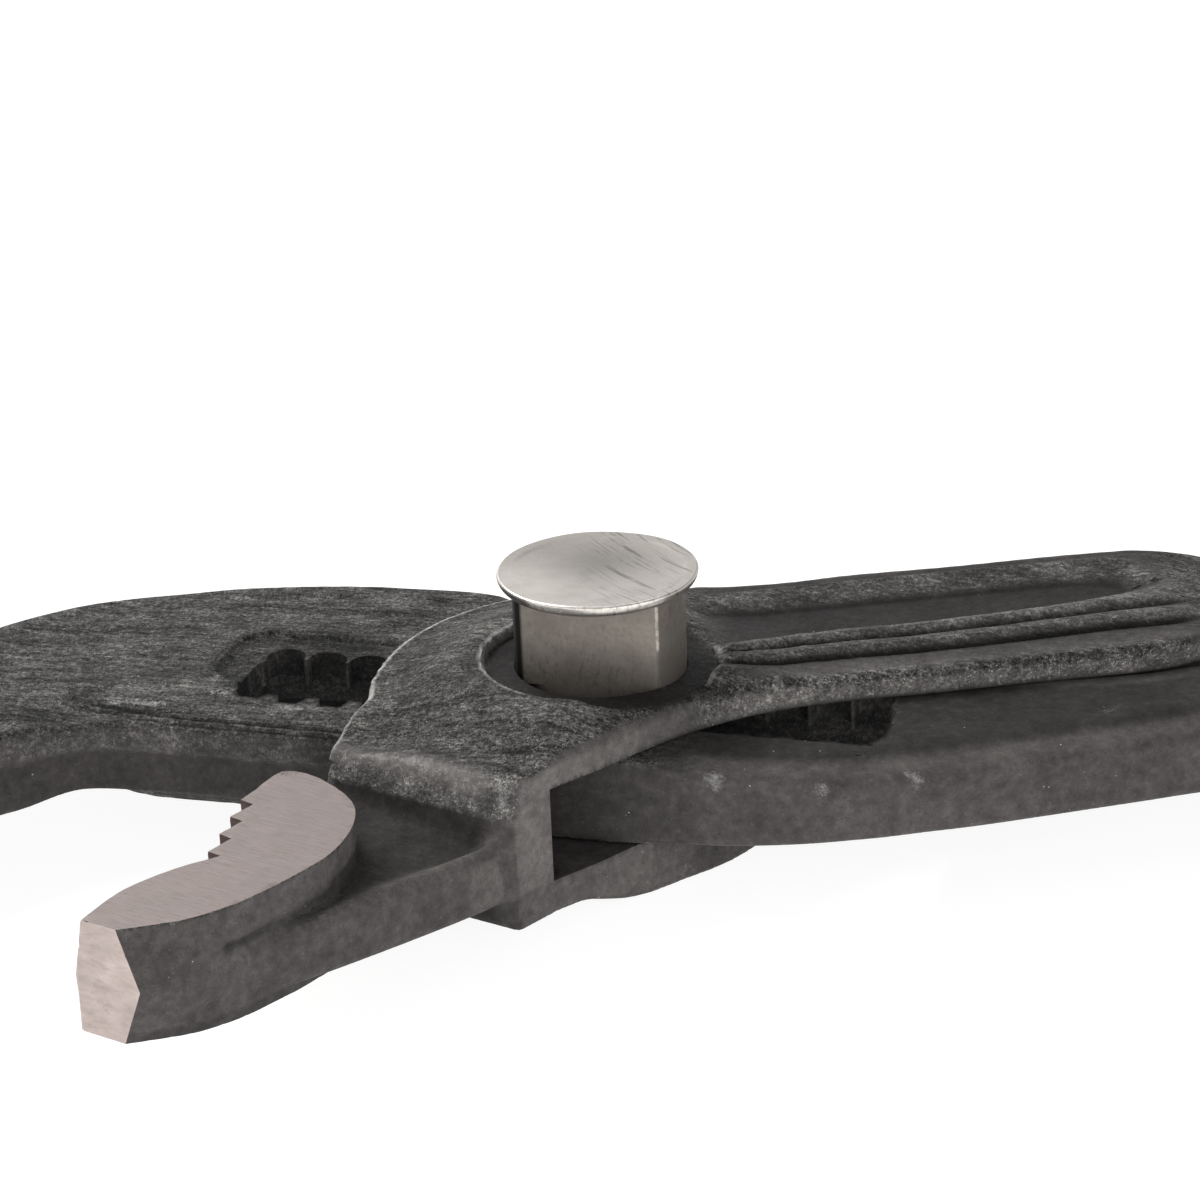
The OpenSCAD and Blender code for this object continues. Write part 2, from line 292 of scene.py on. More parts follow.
# ------------------------------------------------------------------ materials
class Mat:
    def __init__(s, name):
        s.m = bpy.data.materials.new(name)
        s.m.use_nodes = True
        s.t = s.m.node_tree
        s.b = s.t.nodes["Principled BSDF"]
        tc = s.t.nodes.new("ShaderNodeTexCoord")
        mp = s.t.nodes.new("ShaderNodeMapping")
        mp.inputs["Scale"].default_value = (1000, 1000, 1000)
        s.t.links.new(tc.outputs["Object"], mp.inputs["Vector"])
        s.mm = mp.outputs["Vector"]

    def put(s, socket, v):
        if isinstance(v, bpy.types.NodeSocket):
            s.t.links.new(v, socket)
        elif v is not None:
            socket.default_value = v

    def turned(s, rot=(0, 0, 0), scale=(1, 1, 1), shift=(0, 0, 0)):
        a = s.t.nodes.new("ShaderNodeMapping")
        s.t.links.new(s.mm, a.inputs["Vector"])
        a.inputs["Rotation"].default_value = [math.radians(q) for q in rot]
        a.inputs["Location"].default_value = shift
        b = s.t.nodes.new("ShaderNodeMapping")
        s.t.links.new(a.outputs[0], b.inputs["Vector"])
        b.inputs["Scale"].default_value = scale
        return b.outputs[0]

    def noise(s, scale, detail=3, rough=0.6, vec=None, warp=0.0):
        n = s.t.nodes.new("ShaderNodeTexNoise")
        s.put(n.inputs["Vector"], vec or s.mm)
        n.inputs["Scale"].default_value = scale
        n.inputs["Detail"].default_value = detail
        n.inputs["Roughness"].default_value = rough
        n.inputs["Distortion"].default_value = warp
        return n.outputs["Fac"]

    def cells(s, scale, feature="F1", vec=None):
        n = s.t.nodes.new("ShaderNodeTexVoronoi")
        n.feature = feature
        s.put(n.inputs["Vector"], vec or s.mm)
        n.inputs["Scale"].default_value = scale
        return n.outputs["Distance"]

    def attr(s, name):
        n = s.t.nodes.new("ShaderNodeAttribute")
        n.attribute_name = name
        return n.outputs["Fac"]

    def math(s, op, a, b=None, c=None, clamp=False):
        n = s.t.nodes.new("ShaderNodeMath")
        n.operation = op
        n.use_clamp = clamp
        for q, v in enumerate((a, b, c)):
            s.put(n.inputs[q], v)
        return n.outputs[0]

    def step(s, v, lo, hi, a=0.0, b=1.0):
        n = s.t.nodes.new("ShaderNodeMapRange")
        n.interpolation_type = "SMOOTHSTEP"
        s.put(n.inputs["Value"], v)
        n.inputs["From Min"].default_value = lo
        n.inputs["From Max"].default_value = hi
        n.inputs["To Min"].default_value = a
        n.inputs["To Max"].default_value = b
        return n.outputs[0]

    def ramp(s, v, *stops):
        n = s.t.nodes.new("ShaderNodeValToRGB")
        s.put(n.inputs[0], v)
        e = n.color_ramp.elements
        while len(e) < len(stops):
            e.new(0.5)
        for q, (p, c) in enumerate(stops):
            e[q].position = p
            e[q].color = (*c, 1) if not isinstance(c, float) else (c, c, c, 1)
        return n.outputs[0]

    def mix(s, fac, a, b, mode="MIX"):
        n = s.t.nodes.new("ShaderNodeMix")
        n.data_type = "RGBA"
        n.blend_type = mode
        s.put(n.inputs[0], fac)
        for q, v in ((6, a), (7, b)):
            s.put(n.inputs[q], (*v, 1) if isinstance(v, tuple) and len(v) == 3 else v)
        return n.outputs[2]

    def bump(s, h, strength, dist, base=None):
        n = s.t.nodes.new("ShaderNodeBump")
        s.put(n.inputs["Height"], h)
        n.inputs["Strength"].default_value = strength
        n.inputs["Distance"].default_value = dist
        if base is not None:
            s.put(n.inputs["Normal"], base)
        return n.outputs[0]

    def done(s, color, rough, metal, normal=None, **flat):
        s.put(s.b.inputs["Base Color"], color)
        s.put(s.b.inputs["Roughness"], rough)
        s.put(s.b.inputs["Metallic"], metal)
        if normal is not None:
            s.put(s.b.inputs["Normal"], normal)
        for k, v in flat.items():
            s.b.inputs[k].default_value = v
        return s.m


def forged(name):
    """Black-finished forging: salt-and-pepper grain with painted glints, smoother trimmed sides, worn edges with
    painted edge highlights, painted light and shade per region and in hollows, dust.
    """
    m = Mat(name)
    wear_and_highlight, shade_and_grime, side, fleck_glint_amount = m.attr("wear_and_highlight"), m.attr("shade_and_grime"), m.attr("side"), m.attr("fleck_glint_amount")
    painted_shading, lip, scuff = m.attr("painted_shading"), m.attr("lip"), m.attr("scuff")
    grain = m.noise(2.7, 3, 0.75)
    fine = m.noise(6.5, 2, 0.65)
    cloud = m.noise(0.24, 4, 0.62)
    blot = m.noise(0.8, 3, 0.62)
    flow = m.noise(1.0, 3, 0.65, vec=m.turned((0, 0, 16), (0.45, 2.6, 1.4)), warp=0.9)
    streak = m.noise(1.0, 3, 0.6, vec=m.turned((0, 0, 12), (0.11, 0.85, 0.5)), warp=0.8)
    salt = m.math("ADD", m.math("MULTIPLY", grain, 0.44), m.math("ADD", m.math("MULTIPLY", flow, 0.30), m.math("MULTIPLY", fine, 0.26)))
    dark = m.ramp(salt, (0.40, (0.009, 0.009, 0.009)), (0.465, (0.027, 0.0263, 0.0258)),
                  (0.52, (0.050, 0.0487, 0.0475)), (0.58, (0.100, 0.097, 0.093)), (0.67, (0.22, 0.215, 0.207)))
    dark = m.mix(1.0, dark, m.ramp(cloud, (0.34, 0.60), (0.5, 1.0), (0.66, 1.40)), "MULTIPLY")
    dark = m.mix(1.0, dark, m.ramp(blot, (0.34, 0.80), (0.5, 1.0), (0.66, 1.20)), "MULTIPLY")
    dark = m.mix(1.0, dark, m.ramp(streak, (0.36, 0.55), (0.48, 1.0), (0.64, 1.30)), "MULTIPLY")
    # pale flecks, partly where the scale has been knocked off and partly painted glints of the rough surface
    fleck_and_glint = m.math("MULTIPLY", m.step(fine, 0.58, 0.70), m.step(blot, 0.44, 0.62, 0.1, 1.0))
    fleck_and_glint = m.math("MULTIPLY", fleck_and_glint, m.math("ADD", 0.25, m.math("MULTIPLY", fleck_glint_amount, 0.6)))
    col = m.mix(fleck_and_glint, dark, (0.32, 0.315, 0.30))
    # trimmed flanks: even, warmer, smoother
    flank = m.ramp(m.noise(1.1, 4, 0.65), (0.3, (0.045, 0.0418, 0.0412)), (0.55, (0.066, 0.0615, 0.0605)), (0.8, (0.096, 0.0895, 0.088)))
    flank = m.mix(1.0, flank, m.ramp(cloud, (0.34, 0.85), (0.5, 1.0), (0.66, 1.16)), "MULTIPLY")
    flank = m.mix(m.step(m.noise(6.0, 2, 0.6), 0.58, 0.70, 0, 0.55), flank, (0.028, 0.027, 0.026))
    flank = m.mix(m.step(m.noise(4.2, 3, 0.7), 0.62, 0.74, 0, 0.55), flank, (0.17, 0.165, 0.16))
    col = m.mix(side, col, flank)
    # painted light and shade, set per region on each mesh, multiplies the colour
    col = m.mix(1.0, m.mix(1.0, col, (1.4, 1.39, 1.37), "MULTIPLY"), painted_shading, "MULTIPLY")
    # painted shade and grime: hollows stay blacker
    col = m.mix(m.step(shade_and_grime, 0.12, 0.75, 0, 0.85), col, (0.006, 0.006, 0.006))
    # rubbed edges, and painted highlights along the marked lip edges
    rub_and_highlight = m.math("ADD", wear_and_highlight, m.math("MULTIPLY", m.math("SUBTRACT", m.noise(1.7, 4, 0.7), 0.5), 1.1))
    rub_and_highlight = m.math("MULTIPLY", m.step(rub_and_highlight, 0.66, 1.05), 0.34)
    rub_and_highlight = m.math("MAXIMUM", rub_and_highlight, m.math("MULTIPLY", m.step(lip, 0.3, 0.95), m.step(m.noise(0.9, 4, 0.7), 0.36, 0.60, 0.22, 0.9)))
    # rubbed-through patches
    chafe = m.math("ADD", m.math("MULTIPLY", scuff, 0.42), m.math("ADD", m.math("MULTIPLY", fine, 0.35), m.math("ADD", m.math("MULTIPLY", grain, 0.35), m.math("MULTIPLY", blot, 0.3))))
    chafe = m.math("MULTIPLY", m.step(chafe, 0.70, 0.98), m.step(scuff, 0.02, 0.35, 0, 0.75))
    rub_and_highlight = m.math("MAXIMUM", rub_and_highlight, chafe)
    col = m.mix(rub_and_highlight, col, (0.44, 0.43, 0.415))
    # dust, and pale dots that are painted glints
    dust_and_glint = m.step(m.cells(0.75), 0.05, 0.02)
    dust_and_glint = m.math("MULTIPLY", dust_and_glint, m.step(m.noise(0.22, 2, 0.5), 0.50, 0.60))
    col = m.mix(dust_and_glint, col, (0.62, 0.61, 0.6))
    rough = m.math("ADD", m.step(grain, 0.3, 0.7, 0.68, 0.48), m.math("MULTIPLY", side, -0.04))
    h = m.math("ADD", m.math("MULTIPLY", grain, 0.6), m.math("ADD", m.math("MULTIPLY", fine, 0.22), m.math("MULTIPLY", flow, 0.35)))
    h = m.math("MULTIPLY", h, m.math("SUBTRACT", 1.0, m.math("MULTIPLY", side, 0.8)))
    nrm = m.bump(h, 0.8, 0.0003)
    metal = m.math("MULTIPLY", rub_and_highlight, 0.6)
    m.b.inputs["Specular IOR Level"].default_value = 0.06
    return m.done(col, rough, metal, nrm)


def ground(name, k=1.0, rust=0.0, hairs=0.9):
    """Bare milled steel with fine parallel grinding lines."""
    m = Mat(name)
    lines = m.noise(1.0, 4, 0.65, vec=m.turned((0, 0, 34), (0.30, 8.0, 0.9)))
    hair = m.noise(1.0, 3, 0.7, vec=m.turned((0, 0, 36), (0.6, 14.0, 2.0)))
    pit = m.noise(5.0, 3, 0.7)
    cloud = m.noise(0.25, 3, 0.5)
    t = lambda r, g, b: (r * k, g * k * (1 - 0.25 * rust), b * k * (1 - 0.3 * rust))
    col = m.ramp(lines, (0.25, t(0.205, 0.168, 0.154)), (0.5, t(0.265, 0.220, 0.205)), (0.75, t(0.325, 0.275, 0.258)))
    col = m.mix(m.math("MULTIPLY", m.step(hair, 0.54, 0.64), m.step(m.noise(0.9, 3, 0.7), 0.4, 0.6, 0.3 * hairs, hairs)), col, t(0.105, 0.082, 0.074))
    col = m.mix(m.step(cloud, 0.4, 0.7, 0, 0.35), col, t(0.22, 0.188, 0.176))
    worn = m.step(m.attr("scuff"), 0.1, 0.8)
    col = m.mix(m.math("MULTIPLY", worn, m.step(pit, 0.45, 0.6)), col, t(0.05, 0.045, 0.042))
    col = m.mix(m.math("MULTIPLY", m.step(pit, 0.66, 0.76), 0.6 * hairs), col, t(0.06, 0.05, 0.045))
    edge = m.step(m.attr("wear_and_highlight"), 0.45, 0.9)
    col = m.mix(m.math("MULTIPLY", edge, 0.3), col, t(0.42, 0.39, 0.37))
    h = m.math("ADD", lines, m.math("MULTIPLY", hair, 0.5))
    return m.done(col, m.step(lines, 0.3, 0.7, 0.5, 0.4), 0.55, m.bump(h, 0.25, 0.00006))


def turned_steel(name, base, light, rough, streak, dark=0.45, lines=0.7, metal=0.85, half=False):
    """Satin turned steel: fine rings or streaks, small scratches, faint stains, painted light and shade per region,
    pale worn edges that also carry painted highlights.
    """
    m = Mat(name)
    fine = m.noise(1.0, 3, 0.7, vec=m.turned((0, 0, 0), streak))
    scratch = m.noise(1.0, 2, 0.6, vec=m.turned((0, 0, 60), (0.16, 3.4, 1.0)), warp=0.25)
    scratch2 = m.noise(1.0, 2, 0.6, vec=m.turned((0, 0, -20), (0.3, 11.0, 1.0)))
    cloud = m.noise(0.3, 4, 0.6)
    spot = m.noise(2.4, 4, 0.75)
    col = m.mix(m.math("ADD", m.math("MULTIPLY", m.step(fine, 0.3, 0.7), lines), m.math("MULTIPLY", m.step(spot, 0.25, 0.75), 1 - lines)), base, light)
    col = m.mix(m.step(cloud, 0.42, 0.70, 0, 0.45), col, tuple(q * 0.72 for q in base))
    place = m.step(m.noise(0.2, 2, 0.5, vec=m.turned((0, 0, 0), (1, 1, 1), (3, 0, 0))), 0.42, 0.60)
    if half:
        q = m.t.nodes.new("ShaderNodeSeparateXYZ")
        m.put(q.inputs[0], m.mm)
        place = m.math("MULTIPLY", m.step(q.outputs[0], -2.5, 1.5), m.step(m.noise(0.35, 3, 0.6), 0.34, 0.56))
    s1 = m.math("MULTIPLY", m.step(scratch, 0.54, 0.66), place)
    s2 = m.math("MULTIPLY", m.step(scratch2, 0.66, 0.76), 0.5)
    s1 = m.math("MAXIMUM", s1, s2)
    col = m.mix(m.math("MULTIPLY", s1, dark), col, tuple(q * 0.35 for q in base))
    col = m.mix(1.0, col, m.attr("painted_shading"), "MULTIPLY")
    # pale edges: wear, and painted highlights on the button's front rim and the bolt's flat corner
    worn = m.math("MULTIPLY", m.step(m.attr("wear_and_highlight"), 0.3, 0.9), m.step(spot, 0.36, 0.58, 0.25, 0.75))
    col = m.mix(worn, col, tuple(min(1, q * 1.7) for q in light))
    h = m.math("ADD", m.math("MULTIPLY", fine, 0.6), m.math("MULTIPLY", s1, -0.5))
    return m.done(col, m.step(cloud, 0.3, 0.7, rough - 0.05, rough + 0.08), metal, m.bump(h, 0.18, 0.00004))


def plastic(name, base, light, rough, scale, sheen=0.0):
    """Moulded grip with a fine spark-eroded texture, rubbed high spots, and hollows darkened by grime and painted
    shade.
    """
    m = Mat(name)
    grain = m.noise(scale, 2, 0.6)
    cloud = m.noise(0.12, 4, 0.6)
    col = m.mix(m.step(cloud, 0.35, 0.7), base, light)
    col = m.mix(m.step(grain, 0.5, 0.75, 0, 0.3), col, tuple(q * 1.5 for q in light))
    col = m.mix(m.step(m.attr("wear_and_highlight"), 0.3, 0.8, 0, 0.35), col, tuple(min(1, q * 1.8 + 0.01) for q in light))
    # painted shade and grime: hollows darker
    col = m.mix(m.step(m.attr("shade_and_grime"), 0.2, 0.8, 0, 0.5), col, tuple(q * 0.4 for q in base))
    return m.done(col, m.step(grain, 0.3, 0.7, rough, rough + 0.12), 0.0, m.bump(grain, 0.35, 0.0001))


FORGED = forged("forged_black")
GROUND = ground("ground_face", 0.98)
# painted shade and light: the tooth flanks use a darker copy of the ground steel with a rust tint, the tip's end face
# a brighter copy
TOOTH_SHADED = ground("tooth_flank_shaded", 0.30, 1.0)
END_LIT = ground("end_face_lit", 2.0, 0.0, 0.3)
BOLT = turned_steel("bolt_satin", (0.275, 0.246, 0.216), (0.400, 0.358, 0.316), 0.5, (0.5, 0.5, 7.0), 0.35, 0.1, 0.55)
HEAD = turned_steel("button_satin", (0.50, 0.466, 0.428), (0.60, 0.562, 0.520), 0.34, (5.0, 5.0, 0.6), 0.7, 0.6, 0.85, True)
INNER = turned_steel("inner_satin", (0.20, 0.20, 0.205), (0.30, 0.30, 0.305), 0.4, (6.0, 6.0, 0.6))
HARD = plastic("grip_black", (0.014, 0.014, 0.015), (0.022, 0.022, 0.023), 0.5, 5.0)
SOFT = plastic("grip_red", (0.30, 0.022, 0.020), (0.36, 0.030, 0.026), 0.55, 7.0)


# ------------------------------------------------------------------ box lever
bx_left = [[-21.6, -9.8], [-20.8, -7.0], [-19.8, -4.6], [-18.9, -2.9], [-18.7, 0.4], [-17.9, 4], [-16.6, 7.6],
           [-14.7, 10.8], [-12.2, 13.6], [-8.4, 16.2], [-3, 17.7], [3, 17.5], [8.6, 17.0],
           [15.4, 17.4], [21.4, 18.5], [30, 19.5], [38.6, 20.8], [46, 21.6], [54, 22.6]]
bx_near = [[54, 12], [53, 8.6], [51, 4.8], [48, 2.2], [43.2, 0.7], [34.8, -0.4], [26.4, -1.7],
           [21.8, -2.2], [18, -2.8], [14.3, -3.7], [10.6, -5.2], [6.8, -7.4], [2.3, -11],
           [-1, -14], [-4.4, -16.8], [-7.6, -20.2]]
bx_front = [[-9.3, -22], [-21.7, -12]]
bx_bridge = [[-20.6, -8.6], [-4.6, -13.4], [-4.4, -16.8], [-7.6, -20.2], [-9.3, -22], [-21.7, -12], [-21.2, -9.8]]
bx_spine_near = [[32, 10.2], [40, 11.5], [52, 12], [68, 12.6], [85, 14.4], [96, 15.9]]
bx_spine_far = [[96, 27.9], [75, 25.3], [60, 23.6], [54, 22.6], [46, 21.6], [38.6, 20.8],
                [30, 19.5], [21.4, 18.5]]
bx_pad_top = [[-24.4, -13.0], [-25.4, -13.1], [-26.4, -14.5], [-27.2, -16.1]]
bx_pad_tip = [[-29.2, -27.6], [-31.8, -29.0], [-34.2, -30.8], [-36.5, -33.2], [-38.8, -37.3]]
bx_pad_out = [[-36.1, -39.2], [-33.8, -38.7], [-30.8, -37.8], [-27.8, -35.9], [-25.6, -33.8], [-23.4, -31.4],
              [-20.9, -28], [-19.5, -24], [-19.3, -20.4], [-20.2, -17.6], [-22, -14.9], [-23.4, -13.5]]
bx_neck_in = [[-20.8, -9.5], [-22.4, -12], [-25, -14], [-28, -22], [-29.4, -28], [-33, -33], [-34.6, -38.6]]
bx_neck_out = [[-34.6, -38.6], [-31, -37.8], [-27.6, -35.6], [-24.5, -33.4], [-20.9, -31],
               [-15, -26.6], [-10, -22.6], [-7.6, -20.2]]
bx_teeth = np.array([[-28.25 - 0.65 * i + q, -17.9 - 2.95 * i - 0.85 * q] for i in range(4) for q in (0, 1)])

PLATE = Plan(np.vstack([curve(bx_left), curve(bx_near), bx_front]))
BRIDGE = Plan(bx_bridge)
SPINE = Plan(np.vstack([[[17.8, 17.4], [19, 13.4], [21.5, 10.3]], curve(bx_spine_near), curve(bx_spine_far)]))
PAD = Plan(np.vstack([curve(bx_pad_top), bx_teeth, curve(bx_pad_tip), curve(bx_pad_out)]), g=0.1)
NECK = Plan(np.vstack([curve(bx_neck_in), curve(bx_neck_out), [[-7, -17], [-12, -13.5]]]))
RIM = Line(curve(bx_neck_out), pad=9)
GRIPSIDE = Line(np.vstack([bx_pad_top[-1:], bx_teeth, curve(bx_pad_tip)]), g=0.1)
NEAREDGE = Line(curve(bx_near), pad=9)
LEFTEDGE = Line(curve(bx_left[:12]))
WEDGE = Line(curve([[-20.5, -28.1], [-23.1, -31.6], [-25.3, -34.0], [-28.2, -36.6]]), g=0.1)

# section across the handle: near shoulder, groove, rib, groove, rib, wide channel, far rib
rib_v = [-7, -5.35, -4.7, -1.9, -1.2, -0.4, 0.0, 0.6, 1.6, 2.6, 3.6, 3.95, 4.6, 5.0, 5.3, 6.1, 10.2, 11.0, 13.4, 13.9, 14.4, 15.5, 16.5]
rib_z = [5.2, 5.75, 6.10, 6.18, 6.06, 5.72, 6.10, 6.54, 6.54, 6.24, 5.88, 6.20, 6.56, 6.54, 6.34, 5.42, 5.42, 5.72, 6.46, 6.28, 6.36, 6.42, 5.9]
HC, HS = math.cos(math.radians(8)), math.sin(math.radians(8))


def along(x, y):
    return x * HC + y * HS, -x * HS + y * HC


def across(u, v):
    """Place across the handle: the ribs run together at the recess, the channel ends in a point."""
    top = np.interp(u, [9.6, 11.5, 14, 17, 21, 25, 33, 42, 50], [-0.2, 0.0, 1.2, 2.9, 3.1, 2.9, 3.3, 4.0, 4.4])
    low = top - np.interp(u, [9.6, 11.5, 14, 17, 25, 42, 50], [1.8, 2.6, 3.5, 3.9, 4.1, 4.4, 4.8])
    a = [-7 + 0 * u, low, low + 0.34 * (top - low), low + 0.77 * (top - low), top, 10.2 + 0 * u, 16.5 + 0 * u]
    b = (-7, -0.4, 1.1, 3.6, 4.8, 10.2, 16.5)
    w = v + 0 * u
    for i in range(6):
        w = np.where(v > a[i], b[i] + (v - a[i]) * (b[i + 1] - b[i]) / (a[i + 1] - a[i]), w)
    e = np.maximum(u - 37.0, 0) * 0.235
    d = w - 8.15
    h = np.hypot(np.where(d > 0, np.where(e < 2.05, e, 2.05 + (e - 2.05) * 5.0), e), d)
    q = np.where(d > 0, np.minimum(8.15 + h, 13.6), np.maximum(8.15 - h, 4.8))
    return np.where((w > 4.8) & (w < 13.6), q, w)


def dome(x, y):
    """Boss around the button: highest in front, lower at the left and towards the handle."""
    k = 2.7 * (1 - 0.05 - 0.24 * sst((2 - x) / 10) - 0.56 * sst((x - 1) / 8) * sst((y + 6) / 5))
    return 6.1 + k * sst((18.6 - np.hypot(x, y)) / 8.2)


def box_top(x, y):
    """Height of the forged surface of the box lever above its mid-plane."""
    z = dome(x, y)
    u, v = along(x, y)
    W = sst((u - 8.0) / 3.0) * (1 - sst((u - 47) / 4))
    z = z + W * (np.interp(across(u, v), rib_v, rib_z) - 6.1)
    z = z - (z - 4.0) * sst((u - 49) / 11)
    # the top falls to the near edge and to the front-left corner
    z = smin(z, 6.45 + 0.44 * NEAREDGE(x, y), 0.5)
    z = z - 1.15 * sst((-x - 11) / 9.5) * sst((-y - 3) / 6)
    s = 0.56 * x + 0.828 * y + 20
    z = z - 0.5 * np.exp(-((s - 3.0) / 1.7) ** 2) * sst((x + 16.5) / 5) * sst((-4 - x) / 3)
    return z


def box_skin(x, y, z):
    u, v = along(x, y)
    low = 6.8 + 2.0 * sst((15.4 - np.hypot(x, y)) / 5.6)
    return np.where(z > 0, box_top(x, y), low - (low - 4.0) * sst((u - 49) / 11))


def facet(x, y, z):
    """Steep front-left face of the box; upright below the mid-plane."""
    s = -0.56 * x - 0.828 * y
    return np.where(z > 0, (s - 20.0 + 0.30 * (z - 4.9)) / 1.044, s - 21.47 - 0.078 * z)


def box_field(x, y, z):
    az = np.abs(z)
    top = box_skin(x, y, z)
    # the left wall leans out towards the middle
    lean = 0.62 * np.clip(4.9 - az, 0, 2.1)
    g = lean * sst((-x - 16) / 3) * sst((-y - 5) / 3) * (0.5 + 0.5 * sst((-y - 9.5) / 2))
    p = PLATE(x + 0.956 * g, y - 0.292 * g)
    e = sst((x - 6) / 6)
    edge = np.where(z > 0, 0.35 + 0.35 * e + 0.5 * sst((x + 13) / 5) * sst((-y - 4) / 4) * (1 - e), 0.45)
    body = np.maximum(rmax(p, az - top, edge), GAP - az)
    body = np.minimum(body, rmax(BRIDGE(x + 0.956 * g, y - 0.292 * g), az - top, 0.4))
    body = np.minimum(body, rmax(SPINE(x, y), az - np.where(x < 52, top, np.minimum(top, 9)), 0.8))
    body = smax(body, facet(x, y, z), np.where(z > 0, 0.4 + 1.5 * sst((x + 17) / 6), 1.2))
    # web and rim that carry the jaw
    rim = RIM(x, y)
    sunk = -0.3 + 1.4 * np.clip((-8 - x) / 12, 0, 1) + 0.2 * np.clip((-20 - x) / 4, 0, 1)
    floor = sunk + (1.35 - sunk) * (1 - sst((rim - 0.5) / 2.4))
    neck = rmax(NECK(x, y), np.maximum(z - floor, -4.0 - z), 1.1)
    f = smin(body, neck, 1.3)
    grow = 0.29 * np.clip(4.7 - az, 0, 4.7) * sst((-x - 24) / 9) * np.maximum(sst((GRIPSIDE(x, y) - 1.0) / 1.2), 0.7 * sst((-x - 33) / 4))
    grow = np.where((z < 0) & (GRIPSIDE(x, y) < 1.0), 0.95 * sst((-x - 33) / 4), grow)
    pad = np.maximum(PAD(x, y) - grow, -0.576 * (x + 38.8) - 0.818 * (y + 37.3))
    f = smin(f, rmax(pad, az - 4.7, 0.12), 0.45)
    f = f + 0.5 * np.exp(-(WEDGE(x, y) / 0.55) ** 2 - ((z - 1.5) / 0.55) ** 2)
    # recess, bore and seat of the plug
    r = np.hypot(x, y)
    rec = np.maximum(np.hypot(x + 0.05, y) - 9.4, 7.2 - 0.4 * sst((x - 2) / 6) - z)
    f = smax(f, -rec, 0.7)
    bore = np.where(z > -1, r - 7.02, r - 7.3)
    f = np.maximum(f, -np.maximum(bore, -4.6 - z))
    f = np.maximum(f, -np.maximum(r - 8.35, z + 4.6))
    f = np.maximum(f, -np.maximum(r - 9.1, np.abs(z + 7.95) - 0.4))
    return np.maximum(f, x - 88)


def spots(P, S):
    """Listed patches: (x, y, z, radius along x, radius along y)."""
    m = np.zeros(len(P))
    for x, y, z, a, b in S:
        m = np.maximum(m, 1 - sst(np.sqrt(((P[:, 0] - x) / a) ** 2 + ((P[:, 1] - y) / b) ** 2 + ((P[:, 2] - z) / 2.5) ** 2)))
    return m


grid = [np.concatenate([np.arange(-41.5, 50, 0.4), np.arange(50, 89.5, 0.8)]),
        np.concatenate([np.arange(-42, -6, 0.4), np.arange(-6, 23.5, 0.29), np.arange(23.5, 30, 0.4)]), np.arange(-9.4, 9.8, 0.4)]
V, Q, N = contour(box_field, None, None, 0.4, grid)
wear_and_highlight, shade_and_grime = shape_masks(box_field, V, N)
# painted shadow: a dark wedge at the foot of the pad's side wall, added to the hollow shade
wedge = np.exp(-(WEDGE(V[:, 0], V[:, 1]) / 0.7) ** 2 - ((V[:, 2] - 1.5) / 0.5) ** 2)
shade_and_grime = np.maximum(shade_and_grime, 0.7 * wedge)
x, y, z = V.T
az = np.abs(z)
u, v = along(x, y)
top = box_skin(x, y, z)
ontop = 1 - sst((np.abs(az - top) - 0.35) / 0.3)
pad_d = PAD(x, y)
on_pad = (pad_d < 0.15) & (((az > 4.55) & (np.abs(N[:, 2]) > 0.7)) | ((GRIPSIDE(x, y) < 0.35) & (az < 4.8)))
fac = (1 - sst((np.abs(facet(x, y, z)) - 0.25) / 0.8)) * sst((z - 2.2) / 0.8) * sst((-x - 5) / 2) * (np.abs(N[:, 2]) < 0.9)
pocket = (1 - sst((NECK(x, y) + 0.2) / 0.4)) * sst((z + 0.9) / 0.5) * (z < 2.6) * sst((RIM(x, y) - 1.4) / 1.8)
side = sst((0.88 - np.abs(N[:, 2])) / 0.35) * sst((9.5 - x) / 4) * (1 - fac)
necked = (1 - sst((NECK(x, y) - 0.3) / 0.6)) * (z < 2.3) * sst((-x - 5) / 2) * (1 - fac)
crease = np.exp(-((0.56 * x + 0.828 * y + 19.6) / 0.9) ** 2) * sst((z - 3.6) / 0.6) * sst((-x - 8) / 2)
side = np.maximum(np.maximum(side, 0.85 * necked), np.maximum(0.3 * fac, 0.75 * crease))
under = (z < -GAP + 0.2) | ((az < GAP + 0.05) & (x > 4))
side = np.where(under, 1.0, side)
fleck_glint_amount = np.maximum(fac, sst((18 - np.hypot(x + 12, y + 14)) / 8) * 0.5)
fleck_glint_amount = np.maximum(fleck_glint_amount, sst((x - 9) / 4) * sst((0.8 - np.abs(N[:, 2])) / 0.3))
# painted shade in the pocket, under the plates, inside the opening and low on the neck and facet; painted light on
# the facet, along the crease and on upright front faces
painted_shading = (1.0 - 0.5 * pocket) * (1 + 0.9 * fac) * (1 + 0.3 * crease)
painted_shading = painted_shading * np.where(under, 0.75, 1.0) * np.where((az < GAP + 0.05) & (x > 4), 0.6, 1.0)
painted_shading = painted_shading * (1 - 0.12 * necked * (z < 0.8)) * (1 - 0.45 * (np.abs(facet(x, y, z)) < 0.9) * sst((-z - 3.2) / 0.8) * sst((-x - 8) / 1.5))
painted_shading = painted_shading * (1 + 0.5 * sst((0.5 - np.abs(N[:, 2])) / 0.3) * (np.abs(facet(x, y, z)) > 0.8) * sst((x + 12) / 4) * sst((8 - x) / 3))
